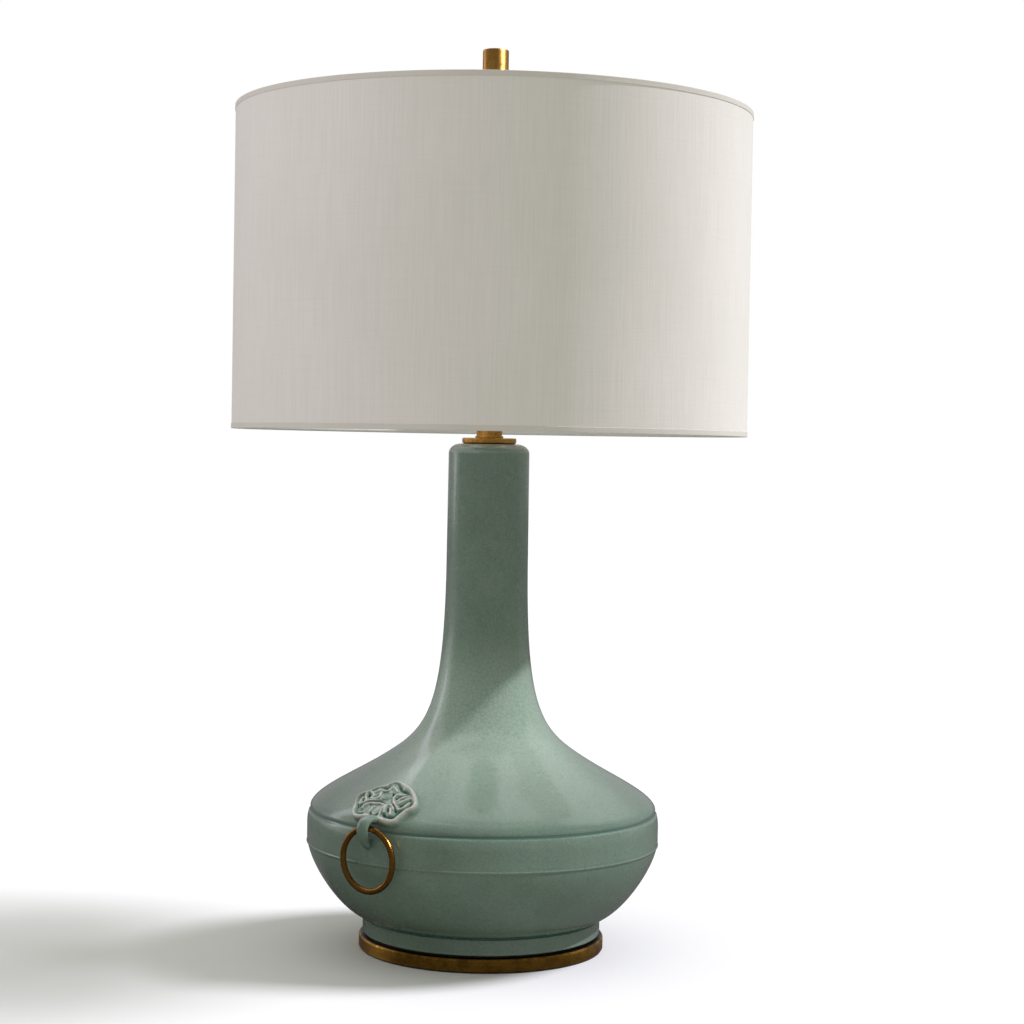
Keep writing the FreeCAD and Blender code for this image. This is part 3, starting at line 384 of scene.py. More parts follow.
def tarnish_group():
    """Soft brown patches and small dark specks of an aged finish."""
    tree, given, out = group("tarnish", [
        ("Vector", "Vector", None), ("Size", "Float", 60.0), ("Amount", "Float", 0.5)],
        [("Patches", "Float", None), ("Specks", "Float", None)])
    scaled = tree.node("ShaderNodeVectorMath", operation="SCALE", in_0=given["Vector"],
                       in_Scale=given["Size"])
    cloudy = tree.span(tree.noise(scaled, 1.0, detail=4.0, rough=0.6), 0.38, 0.66)
    dots = tree.span(tree.noise(scaled, 7.0, detail=2.0, rough=0.5), 0.62, 0.72)
    tree.feed(out["Patches"], tree.maths("MULTIPLY", cloudy, given["Amount"]))
    tree.feed(out["Specks"], tree.maths("MULTIPLY", dots, given["Amount"]))
    return tree.tree


def weave_group():
    """Plain weave: warp and weft threads as two waves, each over the other in turn, with slubs."""
    tree, given, out = group("plain_weave", [
        ("Vector", "Vector", None), ("Threads", "Float", 1400.0)],
        [("Height", "Float", None), ("Warp slubs", "Float", None), ("Weft slubs", "Float", None)])
    parts = tree.node("ShaderNodeSeparateXYZ", in_Vector=given["Vector"])
    wander = tree.noise(tree.place(given["Vector"], scale=(90, 90, 90)), 1.0, detail=2.0)
    warp = tree.maths("MULTIPLY_ADD", parts.outputs["X"], given["Threads"], wander)
    weft = tree.maths("MULTIPLY_ADD", parts.outputs["Y"], given["Threads"], wander)
    up_down = tree.maths("MULTIPLY", tree.maths("SINE", warp), tree.maths("SINE", weft))
    tree.feed(out["Height"], up_down)
    tree.feed(out["Warp slubs"], tree.noise(
        tree.place(given["Vector"], scale=(620, 16, 1)), 1.0, detail=3.0, rough=0.62))
    tree.feed(out["Weft slubs"], tree.noise(
        tree.place(given["Vector"], scale=(14, 560, 1), move=(3.7, 1.3, 0)), 1.0, detail=3.0,
        rough=0.62))
    return tree.tree


BRUSHING = brushing_group()
TARNISH = tarnish_group()
WEAVE = weave_group()


def material(name, roughness=0.5, metallic=0.0, **sockets):
    """A material with a Principled shader. Returns it, its tree and the shader."""
    made = bpy.data.materials.new(name)
    made.use_nodes = True
    tree = Tree(made.node_tree)
    shader = made.node_tree.nodes["Principled BSDF"]
    shader.inputs["Roughness"].default_value = roughness
    shader.inputs["Metallic"].default_value = metallic
    for key, value in sockets.items():
        shader.inputs[key.replace("_", " ")].default_value = value
    return made, tree, shader


def bump(tree, shader, height, distance, strength=1.0):
    made = tree.node("ShaderNodeBump", in_Height=height, in_Distance=distance,
                     in_Strength=strength)
    tree.feed(shader.inputs["Normal"], made)


def objects_of(tree):
    return tree.node("ShaderNodeTexCoord").outputs["Object"]


def uv_of(tree):
    return tree.node("ShaderNodeTexCoord").outputs["UV"]


# ---- Materials -------------------------------------------------------------------------------

def celadon_material():
    """Thick green-grey glaze that pools dark in hollows, thins to a warm grey on ridges, and is
    crazed all over with fine cracks. A paler band over the flare is painted light, and the dark
    teal of pooled glaze also paints shade beside the bead and under the clouds' edges."""
    made, tree, shader = material("celadon_glaze", roughness=0.3, IOR=1.5, Coat_Weight=1.0,
                                  Coat_Roughness=0.11, Coat_IOR=1.5)
    where = objects_of(tree)
    relief = tree.node("ShaderNodeAttribute", attribute_name="relief").outputs["Fac"]
    clouding = tree.noise(where, 22.0, detail=4.0, rough=0.6)
    base = tree.mix(tree.span(clouding, 0.3, 0.7), (0.132, 0.197, 0.152, 1),
                    (0.160, 0.232, 0.180, 1))
    high = tree.node("ShaderNodeSeparateXYZ", in_Vector=where).outputs["Z"]
    # Painted light: a paler band from 118 to 260 mm up, over the top of the shoulder and the flare.
    painted_light_on_flare = tree.maths("MULTIPLY", tree.span(high, 0.118, 0.178), tree.span(high, 0.26, 0.20))
    base = tree.mix(painted_light_on_flare, base, (0.300, 0.405, 0.325, 1))
    speckle = tree.noise(where, 900.0, detail=2.0, rough=0.6)
    base = tree.mix(tree.span(speckle, 0.3, 0.75, 0.0, 0.3), base, (0.21, 0.28, 0.22, 1))
    thin = tree.span(relief, 0.12, 1.0)
    base = tree.mix(thin, base, (0.47, 0.455, 0.40, 1))
    # Dark teal where the relief mark is low: glaze pooled in hollows, and painted shade beside the
    # bead and under the clouds' edges.
    pooled_and_shaded = tree.span(relief, -0.12, -0.95)
    base = tree.mix(pooled_and_shaded, base, (0.036, 0.120, 0.095, 1))
    cracks = crackle(tree, where)
    base = tree.mix(tree.maths("MULTIPLY", cracks, 0.30), base, (0.085, 0.11, 0.088, 1))
    tree.feed(shader.inputs["Base Color"], base)
    dulled = tree.span(tree.noise(where, 60.0, detail=3.0), 0.35, 0.7, 0.26, 0.38)
    tree.feed(shader.inputs["Roughness"], dulled)
    waves = tree.noise(tree.place(where, scale=(12, 12, 150)), 1.0, detail=2.0)
    orange_peel = tree.noise(where, 260.0, detail=2.0)
    height = tree.maths("MULTIPLY_ADD", orange_peel, 0.35, waves)
    height = tree.maths("MULTIPLY_ADD", cracks, -0.25, height)
    bump(tree, shader, height, 0.00015, 0.5)
    return made


def crackle(tree, where):
    """1 on the lines of a net of cracks in two sizes, else 0."""
    wobble = tree.node("ShaderNodeTexNoise", in_Vector=where, in_Scale=130.0)
    small = tree.node("ShaderNodeVectorMath", operation="SCALE", in_0=wobble.outputs["Color"],
                      in_Scale=0.0009)
    bent = tree.node("ShaderNodeVectorMath", operation="ADD", in_0=where, in_1=small)
    lines = []
    for scale, width in ((300.0, 0.12), (560.0, 0.13)):
        cells = tree.node("ShaderNodeTexVoronoi", feature="DISTANCE_TO_EDGE", in_Vector=bent,
                          in_Scale=scale)
        lines.append(tree.span(cells.outputs["Distance"], width, 0.0))
    return tree.maths("MULTIPLY_ADD", lines[1], 0.45, lines[0], clamp=True)


def brass_material(name, colours, coordinates, stretch, rough=(0.34, 0.46), age=0.6, depth=0.5,
                   patch_size=55.0, turning=0.8, painted_shade_above=None):
    """Lacquered antique brass: turned lines, brown patches and dark specks over a warm metal."""
    made, tree, shader = material(name, metallic=1.0, Anisotropic=turning,
                                  Anisotropic_Rotation=0.25)
    where = coordinates(tree)
    lines = use(tree, BRUSHING, Vector=where, Stretch=stretch, Depth=depth)
    old = use(tree, TARNISH, Vector=where, Size=patch_size, Amount=age)
    bright, brown, dark = colours
    colour = tree.mix(old["Patches"], bright, brown)
    colour = tree.mix(tree.maths("MULTIPLY", lines["Streaks"], age * 0.75), colour, brown)
    colour = tree.mix(old["Specks"], colour, dark)
    # Painted shade: above the given height the colour turns to the dark tone.
    if painted_shade_above:
        high = tree.node("ShaderNodeSeparateXYZ", in_Vector=where).outputs["Z"]
        colour = tree.mix(tree.span(high, painted_shade_above, painted_shade_above + 0.0004), colour, dark)
    tree.feed(shader.inputs["Base Color"], colour)
    worn = tree.span(old["Patches"], 0.0, 0.8, rough[0], rough[1])
    tree.feed(shader.inputs["Roughness"], tree.maths("MULTIPLY_ADD", lines["Lines"], 0.2, worn))
    bump(tree, shader, lines["Lines"], 0.00008, 0.6)
    return made


def linen_material(name, colour, shade_colour, bump_depth=0.00012):
    """Off-white linen: a fine plain weave, upright slubs and fainter level ones."""
    made, tree, shader = material(name, roughness=0.85, Sheen_Weight=0.25, Sheen_Roughness=0.5,
                                  Specular_IOR_Level=0.25)
    where = uv_of(tree)
    weave = use(tree, WEAVE, Vector=where, Threads=5200.0)
    mottled = tree.noise(tree.place(where, scale=(9, 6, 1)), 1.0, detail=3.0)
    tone = tree.mix(tree.span(mottled, 0.3, 0.7), colour, shade_colour)
    upright = tree.span(weave["Warp slubs"], 0.3, 0.72, 0.0, 0.30)
    tone = tree.mix(upright, tone, (0.64, 0.61, 0.56, 1))
    level = tree.span(weave["Weft slubs"], 0.45, 0.8, 0.0, 0.2)
    tone = tree.mix(level, tone, (0.66, 0.63, 0.58, 1))
    tree.feed(shader.inputs["Base Color"], tone)
    height = tree.maths("MULTIPLY_ADD", weave["Height"], 0.35, weave["Warp slubs"])
    height = tree.maths("MULTIPLY_ADD", weave["Weft slubs"], 0.6, height)
    bump(tree, shader, height, bump_depth, 0.8)
    return made


def plain_material(name, dark, light, roughness, metallic=0.0, grain=400.0, depth=0.00004,
                   stretch=(1, 1, 1)):
    """Moulded, pressed or plated finish: two near tones, uneven gloss and a faint grain."""
    made, tree, shader = material(name, metallic=metallic)
    where = tree.place(objects_of(tree), scale=stretch)
    soft = tree.noise(where, grain * 0.12, detail=3.0)
    fine = tree.noise(where, grain, detail=3.0, rough=0.6)
    tree.feed(shader.inputs["Base Color"], tree.mix(tree.span(soft, 0.3, 0.7), dark, light))
    low, high = roughness
    tree.feed(shader.inputs["Roughness"], tree.span(fine, 0.3, 0.7, low, high))
    bump(tree, shader, fine, depth, 0.5)
    return made


def felt_material():
    """Matted wool: two layers of tangled fibres."""
    made, tree, shader = material("felt", roughness=0.95, Sheen_Weight=0.4,
                                  Specular_IOR_Level=0.15)
    where = objects_of(tree)
    fibres = tree.noise(tree.place(where, scale=(900, 300, 900)), 1.0, detail=4.0, warp=1.5)
    tufts = tree.noise(where, 350.0, detail=4.0, rough=0.7, warp=0.8)
    tone = tree.maths("MULTIPLY_ADD", fibres, 0.5, tree.maths("MULTIPLY", tufts, 0.5))
    tree.feed(shader.inputs["Base Color"],
              tree.mix(tree.span(tone, 0.3, 0.7), (0.010, 0.010, 0.010, 1),
                       (0.045, 0.043, 0.042, 1)))
    bump(tree, shader, tone, 0.0004, 0.7)
    return made


def styrene_material():
    """Milk-white stiffening sheet, faintly pressed with the weave behind it."""
    made, tree, shader = material("styrene", Specular_IOR_Level=0.4)
    where = uv_of(tree)
    weave = use(tree, WEAVE, Vector=where, Threads=5200.0)
    tree.feed(shader.inputs["Base Color"],
              tree.mix(tree.span(weave["Warp slubs"], 0.3, 0.7), (0.74, 0.73, 0.70, 1),
                       (0.80, 0.79, 0.76, 1)))
    tree.feed(shader.inputs["Roughness"], tree.span(weave["Weft slubs"], 0.3, 0.7, 0.42, 0.55))
    bump(tree, shader, weave["Height"], 0.00003, 0.5)
    return made


def frosted_glass_material():
    """Inside-frosted white envelope of the bulb, its coating a little uneven in tone."""
    made, tree, shader = material("frosted_glass", IOR=1.5, Coat_Weight=0.5,
                                  Coat_Roughness=0.05)
    where = objects_of(tree)
    powder = tree.noise(where, 500.0, detail=3.0)
    cloudy = tree.noise(where, 30.0, detail=2.0)
    tree.feed(shader.inputs["Base Color"],
              tree.mix(tree.span(cloudy, 0.3, 0.7), (0.80, 0.80, 0.78, 1),
                       (0.86, 0.86, 0.85, 1)))
    tree.feed(shader.inputs["Roughness"], tree.span(powder, 0.3, 0.7, 0.30, 0.42))
    bump(tree, shader, powder, 0.00002, 0.4)
    return made


AGED = ((0.70, 0.385, 0.10, 1), (0.46, 0.225, 0.045, 1), (0.08, 0.04, 0.01, 1))
RING_AGED = ((0.44, 0.21, 0.045, 1), (0.25, 0.11, 0.02, 1), (0.06, 0.026, 0.008, 1))
# The pan's dark tone serves its specks and also the painted shade on its top face.
PAN_AGED_AND_SHADE = ((0.74, 0.385, 0.06, 1), (0.32, 0.16, 0.028, 1), (0.045, 0.02, 0.006, 1))
WIRE = ((0.66, 0.50, 0.24, 1), (0.52, 0.38, 0.17, 1), (0.25, 0.17, 0.08, 1))
BRIGHT = ((0.78, 0.60, 0.29, 1), (0.62, 0.45, 0.20, 1), (0.30, 0.20, 0.09, 1))

celadon = celadon_material()
aged_brass = brass_material("aged_brass", AGED, objects_of, (25.0, 25.0, 1500.0))
# The pan's top face, under the jar's foot, takes painted shade in the dark tone.
pan_brass = brass_material("pan_brass", PAN_AGED_AND_SHADE, objects_of, (60.0, 60.0, 700.0), age=0.8,
                           patch_size=130.0, painted_shade_above=(PAN_TOP - 0.5) * MM)
ring_brass = brass_material("ring_brass", RING_AGED, objects_of, (300.0, 300.0, 300.0),
                            rough=(0.24, 0.36), age=0.6, depth=0.12, patch_size=90.0,
                            turning=0.0)
harp_brass = brass_material("harp_brass", WIRE, objects_of, (700.0, 700.0, 60.0),
                            rough=(0.28, 0.4), age=0.3, patch_size=90.0, turning=0.0)
socket_brass = brass_material("socket_brass", BRIGHT, objects_of, (40.0, 40.0, 900.0),
                              rough=(0.14, 0.24), age=0.3, depth=0.25, patch_size=80.0)
linen = linen_material("linen", (0.80, 0.765, 0.725, 1), (0.76, 0.73, 0.685, 1))
# A darker copy of the linen: painted shade on the rolled hems and the back seam.
hem_linen = linen_material("hem_linen", (0.70, 0.665, 0.605, 1), (0.64, 0.605, 0.55, 1), 0.0002)
felt = felt_material()
styrene = styrene_material()

# Dark tone, light tone, least and greatest roughness, and what differs from the usual grain.
PLAIN_FINISHES = {
    "black_plastic": ((0.012, 0.012, 0.012, 1), (0.022, 0.022, 0.021, 1), (0.28, 0.42), {}),
    "black_rubber": ((0.006, 0.006, 0.007, 1), (0.014, 0.014, 0.014, 1), (0.6, 0.8),
                     {"grain": 700.0}),
    "black_glass": ((0.008, 0.008, 0.012, 1), (0.016, 0.015, 0.02, 1), (0.08, 0.16),
                    {"grain": 300.0}),
    "zinc_steel": ((0.48, 0.49, 0.50, 1), (0.62, 0.62, 0.60, 1), (0.3, 0.45),
                   {"metallic": 1.0, "grain": 500.0}),
    "contact_aluminium": ((0.68, 0.68, 0.67, 1), (0.78, 0.78, 0.77, 1), (0.26, 0.4),
                          {"metallic": 1.0, "stretch": (1, 1, 6)}),
    "fibre_paper": ((0.19, 0.125, 0.07, 1), (0.27, 0.19, 0.11, 1), (0.7, 0.85),
                    {"grain": 800.0, "depth": 0.0001, "stretch": (1, 1, 0.3)}),
    "white_enamel": ((0.70, 0.69, 0.66, 1), (0.78, 0.77, 0.74, 1), (0.3, 0.42),
                     {"grain": 250.0}),
}
NODE_FINISHES = {
    "aged_brass": aged_brass, "harp_brass": harp_brass, "socket_brass": socket_brass,
    "celadon_glaze": celadon, "frosted_glass": frosted_glass_material(), "styrene": styrene,
    "linen": linen, "felt": felt,
}
for label, (dark, light, roughness, others) in PLAIN_FINISHES.items():
    NODE_FINISHES[label] = plain_material(label, dark, light, roughness, **others)


def dress_nodes():
    """Gives every CAD node the procedural finish of its slot."""
    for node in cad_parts.values():
        for place in node.material_slots:
            slot = place.material.name.split(".")[0]
            place.material = NODE_FINISHES[slot]
    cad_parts["base_pan"].material_slots[0].material = pan_brass


# ---- Jar -------------------------------------------------------------------------------------

def slope(length):
    angle = math.radians(SHOULDER_SLOPE)
    return length * math.cos(angle), length * math.sin(angle)


def shoulder_poles():
    start = (BAND_R - SHOULDER_STEP, JAR_Z + BAND_HIGH + GROOVE_W)
    out, rise = slope(SHOULDER_HANDLE)
    back, up = SHOULDER_EDGE_HANDLE
    return (start, (start[0] - back, start[1] + up),
            (SHOULDER_MID[0] + out, SHOULDER_MID[1] - rise), SHOULDER_MID)


def flare_poles():
    out, rise = slope(FLARE_LOW_HANDLE)
    return (SHOULDER_MID, (SHOULDER_MID[0] - out, SHOULDER_MID[1] + rise),
            (NECK_LOW[0], NECK_LOW[1] - FLARE_HIGH_HANDLE), NECK_LOW)


def jar_outside():
    """Foot ring, bowl, bead, band, groove, shoulder, neck and lip, from the foot up."""
    foot_top = JAR_Z + FOOT_H
    bowl_low = (FOOT_R + BOWL_LEDGE, foot_top)
    bowl_top = (BAND_R - 2 * BEAD_D, JAR_Z + BAND_LOW)
    bead_top = (BAND_R, JAR_Z + BAND_LOW + BEAD_W)
    lean_low = (BAND_R, JAR_Z + BAND_HIGH - GROOVE_DROP - BAND_LEAN_H)
    band_top = (BAND_R - BAND_LEAN, JAR_Z + BAND_HIGH - GROOVE_DROP)
    shoulder = shoulder_poles()
    groove_top = (shoulder[0][0], shoulder[0][1] - GROOVE_DROP)
    groove_r = (band_top[0] + shoulder[0][0]) / 2 - GROOVE_D
    lip_low = JAR_TOP - LIP_H
    corner = FOOT_EDGE_R * (1 - math.sqrt(0.5))
    return joined(
        straight((FOOT_INNER_R, JAR_Z), (FOOT_R - FOOT_EDGE_R, JAR_Z), 5.0),
        arc((FOOT_R - FOOT_EDGE_R, JAR_Z), (FOOT_R - corner, JAR_Z + corner),
            (FOOT_R, JAR_Z + FOOT_EDGE_R), 5),
        straight((FOOT_R, JAR_Z + FOOT_EDGE_R), (FOOT_R, foot_top - FOOT_GROOVE_W), 2.0),
        arc((FOOT_R, foot_top - FOOT_GROOVE_W),
            (FOOT_R - FOOT_GROOVE_D, foot_top - FOOT_GROOVE_W / 2), bowl_low, 8),
        bezier(bowl_low, np.add(bowl_low, BOWL_LOW_HANDLE),
               np.subtract(bowl_top, BOWL_TOP_HANDLE), bowl_top, 52),
        arc(bowl_top, (BAND_R + BEAD_D, JAR_Z + BAND_LOW + BEAD_W / 2), bead_top, 9),
        straight(bead_top, lean_low, 1.3),
        arc(lean_low, (BAND_R - BAND_LEAN / 4, band_top[1] - BAND_LEAN_H / 2), band_top, 9),
        arc(band_top, (groove_r, band_top[1] + GROOVE_W / 2), groove_top, 12),
        straight(groove_top, shoulder[0], 0.7),
        bezier(*shoulder, 56),
        bezier(*flare_poles(), 76),
        straight(NECK_LOW, (NECK_TOP_R, lip_low), 3.0),
        bezier((NECK_TOP_R, lip_low), (NECK_TOP_R, lip_low + LIP_H * 0.55),
               (NECK_TOP_R - LIP_W * 0.45, JAR_TOP), (NECK_TOP_R - LIP_W, JAR_TOP), 12),
    )


def jar_inside(outside):
    """Mouth, throat, the outside moved in by the wall, floor, hole and foot recess, going down."""
    outward = np.gradient(outside, axis=0)
    outward = np.stack([outward[:, 1], -outward[:, 0]], -1)
    outward /= np.linalg.norm(outward, axis=1, keepdims=True)
    high = outside[:, 1]
    wall = (outside - outward * JAR_WALL)[(high > INSIDE_SPAN[0]) & (high < INSIDE_SPAN[1])][::-9]
    floor = JAR_Z + FOOT_H + JAR_FLOOR_T
    recess = JAR_Z + FOOT_RECESS_H
    return np.concatenate([
        straight((NECK_TOP_R - LIP_W, JAR_TOP), (MOUTH_R, JAR_TOP), 3.0)[1:],
        straight((MOUTH_R, JAR_TOP), (MOUTH_R, JAR_TOP - MOUTH_T), 3.0)[1:],
        [(NECK_TOP_R - JAR_WALL, JAR_TOP - MOUTH_T - LIP_H)],
        wall,
        [(r, floor) for r in JAR_FLOOR_R],
        straight((JAR_HOLE_R, floor), (JAR_HOLE_R, recess), 8.0),
        straight((JAR_HOLE_R, recess), (FOOT_INNER_R, recess), 20.0)[1:],
        straight((FOOT_INNER_R, recess), (FOOT_INNER_R, JAR_Z), 5.0)[1:-1],
    ])


def hump(z, middle, width):
    return np.exp(-((z - middle) / width) ** 2)


def jar_relief(profile):
    """Glaze marks by height and radius: below 0 darker, above 0 paler. The glaze pools in the
    grooves and runs thin on the edges, the bead and the lip; the dark lines beside the bead are
    painted shade.
    """
    r, z = profile[:, 0], profile[:, 1]
    groove = JAR_Z + BAND_HIGH - GROOVE_DROP + GROOVE_W / 2
    bead = JAR_Z + BAND_LOW + BEAD_W / 2
    foot = JAR_Z + FOOT_H - FOOT_GROOVE_W / 2
    # Dark in the groove, where the glaze pools, with a broad darker band on the shoulder's edge
    # just above it.
    marks = -0.72 * hump(z, groove, 1.3) - 0.34 * hump(z, groove + 5.0, 3.4)
    marks += 0.30 * hump(z, groove + 2.4, 0.7) + 0.10 * hump(z, groove - 2.6, 1.1)
    # Painted shade: a dark line on either side of the bead.
    marks += 0.10 * hump(z, bead, 0.55) - 0.40 * hump(z, bead + 2.0, 0.9)
    marks -= 0.36 * hump(z, bead - 2.0, 0.9)
    marks -= 0.9 * hump(z, foot, 1.3)
    marks += 0.35 * hump(z, JAR_Z + 1.2, 1.4)
    marks += 0.5 * hump(z, JAR_TOP - 1.5, 2.5)
    return np.where(r > MOUTH_R + 1, marks, 0)


def make_jar():
    outside = jar_outside()
    profile = np.concatenate([outside, jar_inside(outside)])
    marks = jar_relief(profile)
    marks[len(outside):] = 0
    grid = thrown(turn_table(profile, JAR_COLUMNS))
    girth = np.linspace(0, math.tau * BAND_R, JAR_COLUMNS + 1)
    surface("jar", grid, "root", celadon, ("jar_body",), closed_rows=True,
            uv=(girth, along(profile, True)),
            relief=marks[:, None] + np.zeros(JAR_COLUMNS))


def thrown(grid):
    """Slight unevenness of a hand-thrown wall: r shrinks by a low wave round the jar that drifts
    with height, by at most a quarter of a millimetre, and never grows."""
    angle = np.arctan2(grid[..., 1], grid[..., 0])
    z = grid[..., 2]
    free = np.clip((z - 60) / 20, 0, 1) * np.clip((380 - z) / 20, 0, 1)
    wave = (np.sin(2 * angle + z / 37) + np.sin(3 * angle - z / 21 + 1.3)
            + 0.7 * np.sin(z / 6.3 + 0.4 * np.sin(angle))) / 2.7
    grid = grid.copy()
    grid[..., :2] *= (1 - 0.0009 * free * (1 + wave))[..., None]
    return grid


# ---- Clouds ----------------------------------------------------------------------------------

def traced(text):
    """Strokes from a table of numbers, across and up in turn, with a slash between strokes."""
    return [np.array(stroke.split(), float).reshape(-1, 2) for stroke in text.split("/")]


# The crest of the cloud's rim, the raised strokes and the cut strokes, in millimetres across and
# up the slope from the point of the shoulder that the cloud is centred on.
CLOUD_CREST, = traced("""
    -23.5 -19.2 -20.8 -22.7 -16.6 -23.6 -11.5 -23.3 -6.5 -22.9 -1.6 -22.8 3.2 -23.3 8.3 -24.1 13.5
    -24.7 17.9 -23.8 20.2 -19.9 22.5 -15.1 25.5 -11.1 25.4 -6.8 22.7 -2.3 19.5 1.8 16 5.4 12.1 8.5
    7.9 11.2 3.4 13.3 -1.5 14.7 -6.1 14.1 -10 10.9 -14 7.3 -18.2 5 -21.3 1.5 -25.3 -2.1 -28.3 -5.9
    -28 -10.2 -25.5 -14.3""")
RAISED = traced("""
    -17.1 0.7 -15.8 1.7 -14.2 3.1 -12.2 3.9 -9.8 4.3 -7.5 4.5 -6.4 5.7 -5.7 7.6 -4.6 9.1 -2.3 8.8
    0.2 7 2.2 5.2 / -20.8 0.7 -18.3 -0.2 -16.3 -1.8 -15.7 -3.8 -16.2 -4.8 -16.1 -5.8 / -15.6 -5.9
    -12.2 -5.5 -10 -4 -9.6 -2 -10.3 0.1 -10.7 1.7 / -22.9 -1.4 -23 -3.6 -21.3 -5.9 -19.4 -7.9 -18.8
    -9.8 / -22.8 -13.8 -23.3 -12.4 -23.5 -10.7 -23.8 -8.9 -23.4 -7.2 / -21.4 -13.8 -19.9 -12.6
    -18.4 -11.1 -17.2 -9.6 -15.6 -8.5 -13.4 -7.9 -10.8 -7.4 -8.1 -6.9 -6.3 -6.6 -5.7 -5.1 / 5.7
    -5.3 4.3 -2.5 3.9 -0.2 5.2 1.3 7.2 1.7 9.1 1.8 / 8.4 -6.6 9.6 -5 10.3 -3.1 11.5 -1.3 12.9 0.3
    14.7 1.2 / 12 -7.8 13.4 -5.9 14.5 -4.3 16 -2.9 17.1 -1.2 / 12.5 -11.6 14.3 -13.1 16.4 -13.3
    18.1 -12 18.9 -10 19.4 -7.6 20 -5.6 20.1 -4.5 / 5.7 -5.3 8.1 -7.8 10.5 -10 12.8 -11.9 / -16.7
    -16.6 -16.2 -14.5 -15 -13 -13.2 -11.5 -10.9 -10.6 -7.9 -10.5 -5.3 -10 -2.7 -9.5 0 -10.1 2.9
    -11.8 / -11.8 -20.8 -11.6 -18.6 -11.4 -16.2 -11 -14 / -7.4 -20.2 -7.6 -18 -7.5 -15.6 -6.8 -14 /
    2.4 -21.1 1.9 -18.6 1.7 -16 2.2 -13.9 2.9 -12.2 / 5 -17.5 4 -14.9 3.5 -12.4 4.4 -10.4 6.5 -10.1
    9 -11.3 11.1 -13.7 / 8.4 -14 10.3 -16.5 11.9 -19.3""")
CUT = traced("""
    -20.2 1.7 -18.4 2.9 -16.9 4.5 -14.9 6 -12.3 6.8 -9.8 7.6 -8.8 8.9 -8.2 11 -6.6 12.9 -4.2 13.6
    -1.5 13.2 1.4 11.1 3.9 8.3 5.9 6.7 8.5 6.5 11.2 5.7 13.1 4.7 13.3 3 11.6 1.7 10.5 0.8 / -24.7
    -3.7 -26.1 -5.4 -26.9 -7.9 -26.6 -10.4 -25.5 -13 -23.9 -14.4 -21.8 -14.7 / -21 -14.9 -19 -14.3
    -17.5 -12.8 -16.6 -11.3 -15 -9.9 -12.6 -9 -10.1 -8.3 -7.2 -8 -4.3 -8 -1.5 -8.6 1.8 -10 / -21.5
    -16.4 -21.4 -18.7 -20.8 -20.4 -18.9 -21.8 -16.1 -22 -13.5 -21.3 -12 -19.8 -12 -18.2 -11.9 -16.3
    -11.5 -14.5 -11 -13.1 / -6.5 -20.1 -4.3 -21.3 -1.8 -21.7 -0.1 -20.8 0.8 -19.7 / 8.1 -9.5 10.6
    -11.3 12.5 -13.2 14.4 -15.5 / 6 -19.6 8.8 -21.2 11.8 -21.8 14.3 -21.7 16.1 -20.8 16.6 -18.8
    16.6 -16.7 17.5 -15.1 19.3 -14 20.9 -12.4 21.7 -10.4 21.7 -7.6 20.9 -5.4 18.9 -3.3 / 0.3 2.3
    2.1 1 / 5.5 -2.5 7.2 -2.7 8.2 -1.2 9.6 0 10.6 1.2 / 7.4 -4.4 8.2 -3.6 / 11.8 -4 13.6 -2.9 /
    14.5 -9.7 15.6 -9 16.5 -7.5 17.9 -5.5 18.8 -4 / -21.8 -8.8 -21.3 -8.4 / -19.6 -4.1 -20.9 -1.8 /
    -14.2 -4.2 -12.7 -3.1 -11.7 -1.3 / -7.8 -5.7 -7.2 -5.5 / -9 2.4 -6.3 3.5 / 6.4 -14.1 8 -15.9""")
BOSS = (-3.2, -1.1)
BOSS_R = 3.6
BEADS = [(-10.7, 1.7), (-5.8, -4.9), (-2.3, 8.8)]
CREST_TO_EDGE = 3.9
CREST_W = 2.3
RAISED_W = 1.50
CUT_W = 0.90
CREST_H = 1.9
RAISED_H = 1.25
CUT_H = 1.9
CLOUD_MIDDLE = (-1.6, -6.0)


def distance_to(line, across, up):
    """Shortest distance from each place to a run of straight segments."""
    near = np.full(across.shape, 1e3)
    for (ax, ay), (bx, by) in zip(line[:-1], line[1:]):
        dx, dy = bx - ax, by - ay
        share = np.clip(((across - ax) * dx + (up - ay) * dy) / (dx * dx + dy * dy), 0, 1)
        near = np.minimum(near, np.hypot(across - ax - share * dx, up - ay - share * dy))
    return near


def strokes(lines, across, up, width):
    """1 along the middle of any of the lines, falling off as a bell of the given width."""
    near = np.full(across.shape, 1e3)
    for points in lines:
        near = np.minimum(near, distance_to(smooth_through(points, 5 * len(points)), across, up))
    return np.exp(-(near / width) ** 2)


def shoulder_place(across, up, lift, azimuth):
    """Place over the shoulder: up is walked along the shoulder's profile and across is walked
    round it. The lift is along the profile's normal."""
    profile = np.concatenate([bezier(*shoulder_poles(), 400), bezier(*flare_poles(), 400)[1:]])
    walked = along(profile)
    middle = along(bezier(*shoulder_poles(), 400))[int(CLOUD_AT * 399)]
    r = np.interp(middle + up, walked, profile[:, 0])
    z = np.interp(middle + up, walked, profile[:, 1])
    heading = np.gradient(profile, walked, axis=0)
    normal_r = np.interp(middle + up, walked, heading[:, 1])
    normal_z = np.interp(middle + up, walked, -heading[:, 0])
    angle = math.radians(azimuth) + across / r
    reach = r + lift * normal_r
    return np.stack([reach * np.sin(angle), -reach * np.cos(angle), z + lift * normal_z], -1)


